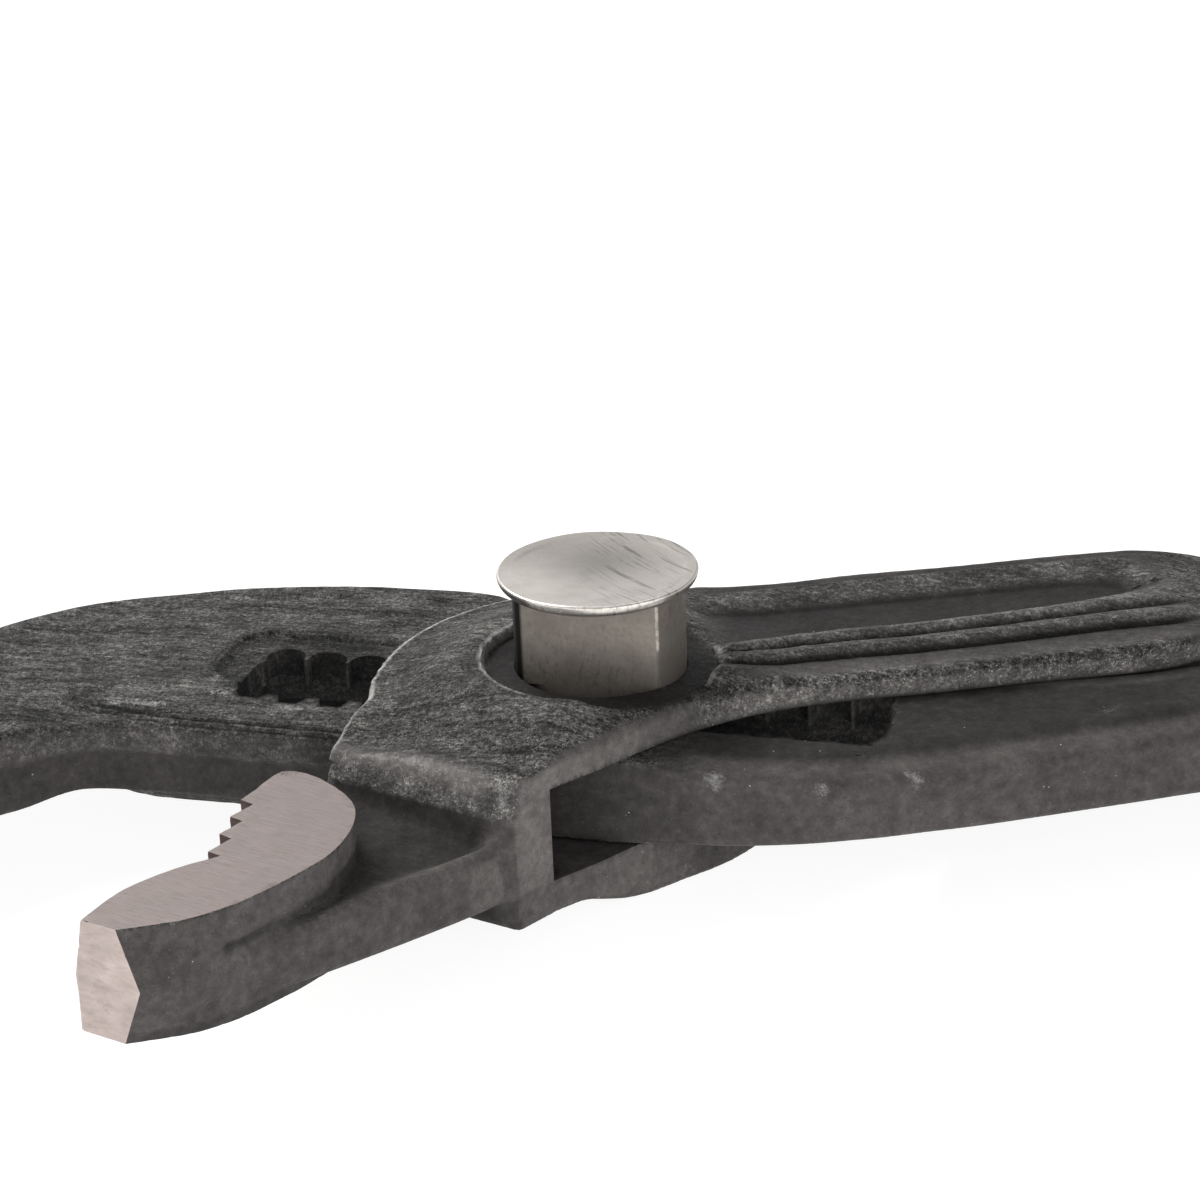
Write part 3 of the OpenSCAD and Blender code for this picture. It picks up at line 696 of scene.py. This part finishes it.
# handle: ribs lighter, grooves and channel darker, partly wear and material, partly painted highlight on the crests
# and painted shade in the grooves and channel
h = sst((u - 8.6) / 3.4) * (1 - sst((u - 48) / 3)) * ontop * (z > 0)
w = across(u, v)
handle_painted_shading = np.interp(w, [-5.4, -4.6, -3.8, -2.2, -1.3, -0.8, -0.1, 0.35, 1.6, 2.5, 3.2, 3.75, 4.3, 5.0, 5.4, 6.1, 10.0, 10.5, 11.3, 12.3, 13.4, 13.7, 14.1, 14.5],
                   [1.3, 1.3, 0.95, 0.68, 0.40, 0.12, 0.18, 1.25, 1.25, 0.8, 0.35, 0.4, 1.5, 1.7, 0.7, 0.34, 0.31, 0.24, 0.85, 1.15, 1.0, 0.6, 0.55, 0.62])
side_h = np.interp(w, [-4.6, -3.6, -1.4, 0.0, 0.3, 1.6, 2.4, 3.4, 4.2, 5.1, 5.8, 10.2, 11.3, 13.4, 13.8, 14.3],
                   [0.0, 0.75, 0.75, 0.5, 0.25, 0.3, 0.5, 0.5, 0.25, 0.3, 1.0, 1.0, 0.2, 0.2, 0.9, 0.9])
painted_shading, side = painted_shading * (1 - h) + handle_painted_shading * h, side * (1 - h) + side_h * h
# painted light: the upright sides of the handle are lighter
flank = sst((x - 6) / 4) * (1 - ontop) * sst((0.8 - np.abs(N[:, 2])) / 0.3) * (az > GAP + 0.1) * (z > 0)
painted_shading = painted_shading * (1 + 1.05 * flank)
side = np.maximum(side, 0.35 * flank)
# painted shade inside the recess around the button
inrec = (1 - sst((np.hypot(x + 0.05, y) - 9.1) / 0.45)) * (z > 4)
painted_shading = painted_shading * (1 - 0.72 * inrec)
side = np.maximum(side, 0.8 * inrec)
# painted highlight, with some rub, along the left edge of the top and around the recess rim
lip = 1.2 * (1 - sst((LEFTEDGE(x, y) - 0.12) / 0.5)) * (1 - sst((np.abs(az - top) - 0.2) / 0.5)) * sst((1 - x) / 3) * (z > 0) * (0.62 + 0.38 * sst((y + 4.5) / 3))
lip = np.maximum(lip, 0.9 * (1 - sst((np.abs(np.hypot(x + 0.05, y) - 9.7) - 0.1) / 0.5)) * np.maximum(sst((-x - 3) / 4), 0.8 * sst((x - 6) / 3)) * (z > 6.9))
scuff = spots(V, [(-8.0, -18.6, 4.4, 1.3, 1.8), (-18.6, 1.2, 6, 1.0, 2.2), (9.6, 1.0, 7.4, 1.2, 1.6), (-24.6, -13.3, 4.7, 2.4, 1.0), (-27, -36.2, 0.5, 2.5, 1.2), (-20.5, -31, 1.2, 2.5, 1.0)]) * np.where(z < 2, 0.6, 1.0)
rough_zone = (1 - side) * (1 - on_pad) * (az > GAP + 0.2) * (z > 0) * (1 - 0.65 * sst((x - 9) / 6)) * sst((-PLATE(x, y) - 0.3) / 1.2)
V = V + N * (rough_zone * (0.10 * vnoise(V, 3.3) + 0.08 * vnoise(V, 1.4)))[:, None]
c, n = face_frames(V, Q)
ac, flat = np.abs(c[:, 2]), np.abs(n[:, 2])
cpad, cgrip = PAD(c[:, 0], c[:, 1]), GRIPSIDE(c[:, 0], c[:, 1])
cend = np.abs(-0.576 * (c[:, 0] + 38.8) - 0.818 * (c[:, 1] + 37.3))
fm = ((cpad < 0.2) & (ac > 4.6) & (flat > 0.8)).astype(int)
# tooth flanks take the shaded copy, the tip's end face the lit copy
fm[(fm == 0) & (cpad < 0.3) & (cgrip < 0.3) & (ac < 4.75) & (flat < 0.5)] = 2
fm[(cend < 0.45) & (-0.576 * n[:, 0] - 0.818 * n[:, 1] > 0.8) & (c[:, 0] < -33.5)] = 3
piece("box_lever_forging", V, Q, "frame", ["box_lever"], [FORGED, GROUND, TOOTH_SHADED, END_LIT], fm,
      {"wear_and_highlight": wear_and_highlight, "shade_and_grime": shade_and_grime, "side": side, "fleck_glint_amount": fleck_glint_amount, "painted_shading": painted_shading, "lip": lip, "scuff": scuff})

# ------------------------------------------------------------------ slotted lever, along and across its slot
sl_grip = [[-55.8, -45.4], [-52.9, -38.6], [-49.6, -34.2]]
sl_throat = [[-48.6, -19.4], [-46.6, -16.6], [-44, -14], [-41.4, -12.2], [-38, -11.1], [-32, -10.8]]
sl_near = [[4, -10.7], [12, -10.5], [19, -9.7], [23.8, -8.2], [28, -6.1], [33, -3.5], [43, 2.4], [50.3, 6.6],
           [58, 9.2], [70, 11.8], [84, 14.8], [96, 16.7]]
sl_far = [[94, 28.1], [80.5, 25.6], [66.3, 22.6], [54.7, 20.2], [47.3, 17.5], [41.5, 14.2], [36, 12.3], [28, 11.1]]
sl_back = [[0, 10.8], [-4, 11.8], [-8, 14.0], [-11, 16.9], [-14, 19.6], [-17, 20.3], [-22, 20.2],
           [-27, 19.8], [-33, 18.6], [-41, 16.2], [-47, 13.6], [-51.5, 10.4], [-56.5, 4.2],
           [-60.6, -6], [-63, -17], [-64, -28], [-63, -38], [-60.6, -46]]
sl_teeth = np.array([[-49.4 - 1.1 * q, -34.2 + 2.9 * i + 0.5 * q] for i in range(5) for q in (0, 1)])
SLED = Plan(np.vstack([curve(sl_grip), sl_teeth, curve(sl_throat), curve(sl_near), curve(sl_far), curve(sl_back)]))
SLGRIP = Line(np.vstack([curve(sl_grip), sl_teeth]), g=0.1)
RELIEF = Plan(np.vstack([curve([[-31.5, -3.3], [-30.6, -5.5], [-28.4, -6.4]]), curve([[21.6, -6.4], [23.8, -5.5], [24.7, -3.3]]),
                         curve([[24.7, 3.3], [23.8, 5.5], [21.6, 6.4]]), curve([[-28.4, 6.4], [-30.6, 5.5], [-31.5, 3.3]])]))


def slot_plan(t, n, z):
    a = np.abs(n)
    q = np.hypot(np.maximum(np.abs(t + 3.45) - 25.05, 0), np.maximum(a - 1.85, 0)) + np.minimum(np.maximum(np.abs(t + 3.45) - 25.05, a - 1.85), 0) - 2.2
    k = np.clip(np.round(t / PITCH), -8, 6)
    lobe = np.hypot(t - k * PITCH, a - 4.3) - 1.65
    # a thin lip narrows the near catches at the top face and leaves low humps between them
    c = np.abs(t / PITCH - np.floor(t / PITCH) - 0.5) * PITCH
    lip = np.maximum(0.8 * (a - 4.05 - (1.15 + 0.25 * np.sin(1.7 * k)) * (1 - 0.8 * sst((t + 6) / 8)) * sst((c - 0.4) / 0.7)), np.abs(t + 3.6) - 26.6)
    return np.minimum(q, np.where((n < 0) & (z > 3.45), lip, lobe))


def border(t, n):
    """Distance outside the sunk border beyond the far side and the left end of the slot."""
    a, b = np.maximum(-30.6 - t, 0), np.abs(n - 3.4) - 2.0
    return np.hypot(a, np.maximum(b, 0)) + np.minimum(b, 0) * (a == 0) - 3.2


def near_line(t, n):
    """Distance from the straight near side at the left."""
    return n + 10.8 - 0.02 * np.maximum(-32 - t, 0) ** 2


def sled_top(t, n):
    z = SLIDE + 0 * t * n
    z = z - 0.42 * (1 - sst((border(t, n) + 0.5) / 0.8)) * sst((n + 3.4 + 0.4 * np.sin(t)) / 1.2) * (1 - sst((t - 6) / 5))
    # stepped lines along the near edge at the left
    left = sst((-6 - t) / 6) * sst((t + 46) / 5)
    q = near_line(t, n)
    z = z - left * (0.26 * (1 - sst((q - 1.0) / 0.3)) + 0.24 * (1 - sst((q - 0.5) / 0.25)) + 0.18 * np.exp(-((q - 1.75) / 0.22) ** 2)
                    + 0.10 * np.exp(-((q - 2.7) / 0.3) ** 2))
    # flow lines of the forging along the far contour
    d = SLED(t, n)
    far = sst((n - 9.5) / 3) * sst((-4 - t) / 6) * sst((t + 50) / 10)
    z = z + far * (0.13 * np.exp(-((d + 2.3) / 0.3) ** 2) - 0.16 * np.exp(-((d + 3.0) / 0.35) ** 2) + 0.10 * np.exp(-((d + 4.4) / 0.4) ** 2)
                   - 0.10 * np.exp(-((d + 5.1) / 0.4) ** 2)) * (0.6 + 0.4 * np.sin(0.37 * t + 0.8))
    # the handle end thins towards its near edge
    near = sst((np.interp(t, [0, 28, 42, 55, 90], [0, 2.4, 7.5, 13.7, 22]) + 1.5 - n) / 3)
    z = z - 1.1 * near * sst((4.4 + d) / 4.4) * (0.35 * sst((t - 3) / 7) + 0.65 * sst((t - 10) / 14))
    # shallow struck mark
    e = np.hypot(t - 39.9, n - 6.6)
    z = z - 0.34 * (1 - sst(e / 1.9)) + 0.04 * np.exp(-((e - 2.1) / 0.5) ** 2)
    # forged jaw is a little lower and crowned
    return z - 0.25 * sst((-36 - t) / 8)


def sled_field(t, n, z):
    az = np.abs(z)
    d = SLED(t, n)
    top = sled_top(t, n)
    f = rmax(d, az - top, 0.9)
    # bulging near side at the left
    f = f + 0.35 * sst((-6 - t) / 6) * sst((t + 46) / 5) * sst((1.2 - z) / 0.8) * sst((1.6 + d) / 1.0) * (n < -6)
    pad = rmax(rmax(t + 47.6, n + 18.6, 3.0), d, 0.12)
    f = smin(f, rmax(pad, az - 4.5, 0.12), 0.3)
    f = np.maximum(f, -np.maximum(slot_plan(t, n, z), 1.15 - z))
    f = np.maximum(f, -np.maximum(RELIEF(t, n), z - 1.15))
    return np.maximum(f, t - 90)


grid = [np.concatenate([np.arange(-65.5, 46, 0.4), np.arange(46, 91.5, 0.8)]), 
        np.concatenate([np.arange(-48, -11.6, 0.4), np.arange(-11.6, -8, 0.2), np.arange(-8, 31.2, 0.4)]), np.arange(-5.2, 5.6, 0.35)]
V, Q, N = contour(sled_field, None, None, 0.4, grid)
wear_and_highlight, shade_and_grime = shape_masks(sled_field, V, N)
t, w, z = V.T
az = np.abs(z)
side = sst((0.8 - np.abs(N[:, 2])) / 0.4)
band = sst((-4 - t) / 6) * sst((t + 50) / 6) * (w < -6) * sst((z - 0.6) / 0.8) * side
right = sst((t - 4) / 8)
topface = sst((np.abs(N[:, 2]) - 0.6) / 0.3)
side = side * (1 - 0.55 * band)
side = np.maximum(side, 0.92 * right)
# painted shade on the right top under the handle, on the right sides and on the left sides; the bulging near band at
# the left is painted lighter
painted_shading = 1 - 0.6 * right * topface * sst((-SLED(t, w) - 1.5) / 1.5) - 0.35 * (1 - right) * side * (1 - band) - 0.05 * right * (1 - topface) + 0.2 * band
q = near_line(t, w)
left = sst((-6 - t) / 6) * sst((t + 46) / 5) * (z > 1.5)
# painted shadow lines along the steps at the near edge
shade_and_grime = np.maximum(shade_and_grime, left * (0.75 * np.exp(-((q - 1.1) / 0.16) ** 2) + 0.6 * np.exp(-((q - 0.55) / 0.14) ** 2) + 0.4 * np.exp(-((q - 1.8) / 0.2) ** 2)))
inslot = ((slot_plan(t, w, z) < 0.2) | ((RELIEF(t, w) < 0.15) & (z < 1.3))) & (np.abs(N[:, 2]) < 0.95) & (z > -3.6)
side = np.where(inslot, 0.3, side)
# painted shade inside the slot and relief, weaker on the upper far side
shade_and_grime = np.where(inslot, np.where((w > 0) & (z > -1.5), 0.4, 1.0), shade_and_grime)
wear_and_highlight = np.where(inslot | (slot_plan(t, w, z) < 0.8) | (slot_plan(t, w, 0 * z) < 0.9), 0.0, wear_and_highlight) * (1 - 0.5 * right)
sunk = (1 - sst((border(t, w) - 0.2) / 0.5)) * (w > -3.4) * (t < 10) * (np.abs(N[:, 2]) > 0.5)
painted_shading = painted_shading * (1 - 0.42 * sunk)
fleck_glint_amount = np.maximum(sst((-t - 10) / 20) * 0.25, 0.4 * band)
# painted highlight, with some rub, along the sunk border's edge and as thin lines on the cusps inside the slot
lip = 0.46 * (1 - sst((np.abs(border(t, w) - 0.15) - 0.05) / 0.4)) * (w > -2) * (t < -18) * (z > 0)
lip = np.maximum(lip, 0.42 * inslot * (w > 2.5) * (z > 0) * (np.abs(t / PITCH - np.floor(t / PITCH) - 0.5) < 0.06))
scuff = spots(V, [(12, -10.4, 2.6, 2.6, 1.2), (20.5, -9.6, 2.2, 1.6, 1.6), (27, -6.3, 2.4, 3.5, 0.8), (39.9, 6.6, 3.8, 2.6, 2.6), (-32.8, -1.5, 3.6, 1.2, 2.6), (-37, -7.5, 3.8, 5, 1.6), (-31.5, -4.6, 3.8, 2.6, 1.3), (-25, -6.2, 3.8, 5, 1.2), (-17, -6.2, 3.8, 4, 1.0)]) * np.where(w < 0, 0.8, 0.6)
rough_zone = (1 - side) * sst((-4 - t) / 10) * (az > 1.5) * sst((-SLED(t, w) - 0.5) / 1.2) * np.maximum(sst((t + 47.6) / 1.5), sst((w + 18.6) / 1.5))
V = V + N * (rough_zone * (0.10 * vnoise(V, 2.7) + 0.07 * vnoise(V, 1.2)))[:, None]
# nothing stands above the faces that slide between the plates
V[:, 2] = np.where(V[:, 0] > -46, np.clip(V[:, 2], -SLIDE - 0.03, SLIDE + 0.03), V[:, 2])
c, n = face_frames(V, Q)
fm = ((SLED(c[:, 0], c[:, 1]) < 0.2) & (c[:, 0] < -47.4) & (c[:, 1] < -18)
      & (((np.abs(c[:, 2]) > 4.4) & (np.abs(n[:, 2]) > 0.8)) | ((SLGRIP(c[:, 0], c[:, 1]) < 0.3) & (np.abs(n[:, 2]) < 0.5)))).astype(int)
cs, sn = math.cos(SLOT), math.sin(SLOT)
V = np.stack([V[:, 0] * cs - V[:, 1] * sn, V[:, 0] * sn + V[:, 1] * cs, V[:, 2]], 1)
piece("slotted_lever_forging", V, Q, "slide_lever", ["slotted_lever"], [FORGED, GROUND], fm,
      {"wear_and_highlight": wear_and_highlight, "shade_and_grime": shade_and_grime, "side": side, "fleck_glint_amount": fleck_glint_amount, "painted_shading": painted_shading, "lip": lip, "scuff": scuff})


# ------------------------------------------------------------------ locking bolt
def bolt_field(t, n, z):
    r = np.hypot(t, n)
    f = rmax(rmax(r - 6.95, np.abs(n) - 3.75, 0.12), np.maximum(6.45 - z, z - 14.25), 0.12)
    f = np.minimum(f, rmax(rmax(np.abs(t) - 5.3, np.abs(n) - 3.75, 2.0), np.maximum(1.45 - z, z - 7.0), 0.12))
    k = np.clip(np.round(t / PITCH), -1, 1)
    lobe = np.hypot(t - k * PITCH, np.abs(n) - 4.3) - 1.3
    f = np.minimum(f, rmax(lobe, np.maximum(1.45 - z, z - 3.4), 0.12))
    return np.maximum(f, -np.minimum(r - 2.0, np.maximum(r - 3.05, 3.7 - z)))


V, Q, N = contour(bolt_field, (-7.5, -6.3, 1.0), (7.5, 6.3, 14.7), 0.26)
wear_and_highlight, shade_and_grime = shape_masks(bolt_field, V, N, 0.3)
t, w, z = V.T
# painted shade: darker towards the bottom, darker on the round side at the right and nearly black on the left flat;
# painted highlight along the corner of the front flat
painted_shading = (0.66 + 0.36 * sst((z - 7.2) / 4.5)) * np.where(t > 5.75, 0.56, 1.0) * np.where(t < -5.45, 0.03, 1.0)
wear_and_highlight = np.maximum(0.2 * wear_and_highlight, (np.abs(t - 5.86) < 0.14) * (w < 0) * (np.hypot(t, w) > 6.7) * sst((z - 9.6) / 1.2))
V = np.stack([V[:, 0] * cs - V[:, 1] * sn, V[:, 0] * sn + V[:, 1] * cs, V[:, 2]], 1)
piece("locking_bolt_turned", V, Q, "button", ["locking_bolt"], [BOLT], None, {"wear_and_highlight": wear_and_highlight, "painted_shading": painted_shading})


# ------------------------------------------------------------------ button head
prof = curve([[3.05, 14.25], [6.6, 14.25], [7.3, 14.3], [7.75, 14.5], [8.0, 14.8], [8.1, 15.12], [8.07, 15.28], [7.96, 15.36],
              [7.8, 15.35], [7.3, 15.3], [6.3, 15.18], [5, 15.05], [3, 14.92], [1.2, 14.87], [0.02, 14.86]], 5)
prof = np.vstack([[[0.02, 12.65], [2.9, 12.65], [3.05, 12.8]], prof])
steps = 144
ang = np.arange(steps) * 2 * np.pi / steps
dent = 0.03 * np.sin(3 * ang + 0.7) + 0.02 * np.sin(7 * ang + 2.1)
V = np.array([[r * math.cos(a), r * math.sin(a), z + (0.9 * d if r > 7 and z > 15 else 0)] for r, z in prof for a, d in zip(ang, dent)])
Q = np.array([[i * steps + j, i * steps + (j + 1) % steps, (i + 1) * steps + (j + 1) % steps, (i + 1) * steps + j]
              for i in range(len(prof) - 1) for j in range(steps)])
caps = [list(range(steps))[::-1], [(len(prof) - 1) * steps + j for j in range(steps)]]
# painted highlight on the rim in front and painted shade on the rim at the left
front = sst((-np.sin(ang) - 0.25) / 0.3) * sst((np.cos(ang) + 0.82) / 0.25) * sst((0.75 - np.cos(ang)) / 0.2)
shade = 1 - 0.65 * sst((-np.cos(ang) - 0.45) / 0.3) * sst((0.5 - np.sin(ang)) / 0.4)
rim = np.repeat(sst((prof[:, 0] - 7.7) / 0.2), steps)
wear_and_highlight = rim * np.repeat(prof[:, 1] > 14.7, steps) * np.tile(front, len(prof))
rim = rim * np.repeat(prof[:, 1] < 15.3, steps)
# painted reflection on the dished top: darker in the middle, lighter towards the lower left, a little darker at the
# right
painted_shading = 1.0 - 0.42 * np.exp(-((V[:, 0] - 0.4) / 4.0) ** 2 - ((V[:, 1] - 2.4) / 3.6) ** 2) + 0.22 * sst((-V[:, 0] - 0.5) / 5) * sst((5 - V[:, 1]) / 6) - 0.08 * sst((V[:, 0] - 1) / 4)
painted_shading = painted_shading * (1 - rim + rim * np.tile(shade, len(prof)))
piece("button_head_dished", V, Q.tolist() + caps, "button", ["button_head"], [HEAD], None, {"wear_and_highlight": wear_and_highlight, "painted_shading": painted_shading}, 50)


# ------------------------------------------------------------------ grips
rear_line = table([[78, 19.8], [83, 20.4], [92, 21.5], [104, 23.1], [117, 24.8], [130, 26.5], [145, 28.3], [160, 29.9], [172, 30.9], [179, 31.4], [182, 31.6]])
front_line = table([[76, -4], [81, -4.4], [91, -5.5], [103, -7], [116, -8.6], [130, -10.3], [145, -12], [160, -13.4], [172, -14.3], [179, -14.8], [182, -15]])
GX_R = [78, 83, 92, 104, 117, 130, 145, 160, 172, 179, 182]
GX_F = [76, 81, 91, 103, 116, 130, 145, 160, 172, 179, 182]
K = [0.9, 1.06, 0.92, 0.95, 1, 1.02, 1, 0.97, 1.02, 0.9, 0.52]
H = [0.78, 0.9, 0.94, 1, 1, 1, 1, 1, 1, 0.86, 0.5]
rear_soft = np.vstack([curve([[89.3, 26.6], [93, 25.5], [99, 25.3], [110, 26.2], [124, 27.8], [143, 30.3], [156, 32.6], [164, 34.6], [168.7, 37]]), [[170.3, 52], [86.7, 44]]])
front_soft = np.vstack([curve([[88.3, -10.2], [92, -9.2], [98, -9.2], [109, -10.5], [124, -12.4], [143, -14.7], [156, -16.6], [164, -18.3], [168.7, -20.4]]), [[170.3, -38], [85.7, -30]]])


def grip(name, line, xs, zone, body, out):
    wk, hk = table(list(zip(xs, K))), table(list(zip(xs, H)))
    Z = Plan(zone, g=0.3)
    x0, x1 = xs[0], xs[-1]

    def skin(x, y, z):
        s = (line(x + 0.5) - line(x - 0.5))
        w = (y - line(x)) / np.sqrt(1 + s * s)
        W, Hh = 8.55 * wk(x), 8.75 * hk(x)
        e = (np.abs(w / W) ** 2.78 + np.abs(z / Hh) ** 3.2) ** (1 / 3.0) - 1
        f = rmax(e * 8.0, x - x1, 1.2)
        return rmax(f, x0 - x, 0.9)

    def core(x, y, z):
        return smax(skin(x, y, z), -Z(x, y) + 0.02, 0.5)

    def soft(x, y, z):
        rib = 0.5 + 0.5 * np.cos((x - 90) * 2 * np.pi / 4.6)
        ribs = 0.42 * sst((rib - 0.55) / 0.35) * sst((x - 97) / 4) * sst((152 - x) / 4)
        return smax(skin(x, y, z) + ribs, Z(x, y) + 0.02, 0.5)

    ys = [float(line(q)) for q in np.linspace(x0, x1, 20)]
    lo, hi = (x0 - 1, min(ys) - 10.5, -9.4), (x1 + 1.2, max(ys) + 10.5, 9.4)
    for part, f, mat, h in (("core", core, HARD, 0.7), ("soft", soft, SOFT, 0.6)):
        V, Q, N = contour(f, lo, hi, h)
        wear_and_highlight, shade_and_grime = shape_masks(f, V, N, 1.0)
        piece(f"{name}_grip_{part}_moulded", V, Q, body, [f"{name}_grip_{part}"], [mat], None,
              {"wear_and_highlight": wear_and_highlight, "shade_and_grime": shade_and_grime}, 45)


grip("rear", rear_line, GX_R, rear_soft, "frame", 1)
grip("front", front_line, GX_F, front_soft, "slide_lever", -1)

# ------------------------------------------------------------------ inner pieces keep their exact shape
for k in ("return_spring", "stop_pin", "pivot_plug", "retaining_ring"):
    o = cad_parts[k]
    o.data.materials.clear()
    o.data.materials.append(INNER)
    at = o.data.attributes.new("painted_shading", "FLOAT", "POINT")
    at.data.foreach_set("value", np.ones(len(o.data.vertices), np.float32))
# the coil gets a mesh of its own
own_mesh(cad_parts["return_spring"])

# ------------------------------------------------------------------ floor, light, camera
me = bpy.data.meshes.new("floor")
me.from_pydata([(-4, -4, -0.0001), (4, -4, -0.0001), (4, 4, -0.0001), (-4, 4, -0.0001)], [], [(0, 1, 2, 3)])
floor = bpy.data.objects.new("floor", me)
bpy.context.scene.collection.objects.link(floor)
fm = Mat("floor_white")
fm.b.inputs["Specular IOR Level"].default_value = 0.2
fm.b.inputs["Emission Color"].default_value = (1, 1, 1, 1)
fm.b.inputs["Emission Strength"].default_value = 0.905
fm.done(fm.ramp(fm.noise(0.002, 2, 0.5), (0.3, 0.24), (0.7, 0.25)), 0.8, 0.0)
me.materials.append(fm.m)

scene = bpy.context.scene
scene.view_settings.view_transform = "Standard"
world = bpy.data.worlds.new("studio")
scene.world = world
world.use_nodes = True
wt = world.node_tree
wc, wx, wr = wt.nodes.new("ShaderNodeTexCoord"), wt.nodes.new("ShaderNodeSeparateXYZ"), wt.nodes.new("ShaderNodeValToRGB")
wt.links.new(wc.outputs["Generated"], wx.inputs[0])
wt.links.new(wx.outputs["Z"], wr.inputs[0])
wt.links.new(wr.outputs[0], wt.nodes["Background"].inputs[0])
# bright sweep at the horizon, darker room above
e = wr.color_ramp.elements
e.new(0.5)
e.new(0.5)
for q, (a, b) in enumerate(((0.12, 1.0), (0.42, 0.80), (0.68, 0.34), (1.0, 0.28))):
    e[q].position = a
    e[q].color = (b, b, b, 1)
wt.nodes["Background"].inputs[1].default_value = 1.0


def area(name, pos, look, size, power, color=(1, 1, 1)):
    d = bpy.data.lights.new(name, "AREA")
    d.shape = "RECTANGLE"
    d.size, d.size_y = size
    d.energy = power
    d.color = color
    o = bpy.data.objects.new(name, d)
    o.location = pos
    o.rotation_mode = "QUATERNION"
    o.rotation_quaternion = (Vector(look) - Vector(pos)).to_track_quat("-Z", "Y")
    scene.collection.objects.link(o)


area("top", (-0.50, 0.45, 0.80), (0, 0, 0), (0.7, 0.5), 11)
area("right", (0.55, -0.85, 0.5), (0, 0, 0), (1.0, 0.6), 2.5)

cam = bpy.data.cameras.new("camera")
cam.sensor_fit = "HORIZONTAL"
cam.sensor_width = 36
cam.angle = 2 * math.atan(600 / 4372.84)
cam.clip_start, cam.clip_end = 0.01, 20
co = bpy.data.objects.new("camera", cam)
scene.collection.objects.link(co)
e, ro = math.radians(22.8), math.radians(2.4)
R, U, Fw = Vector((1, 0, 0)), Vector((0, math.sin(e), math.cos(e))), Vector((0, math.cos(e), -math.sin(e)))
right, up = R * math.cos(ro) - U * math.sin(ro), R * math.sin(ro) + U * math.cos(ro)
M = Matrix((right, up, -Fw)).transposed().to_4x4()
M.translation = Vector((0.000114, -0.323446, 0.157393))
co.matrix_world = M
scene.camera = co
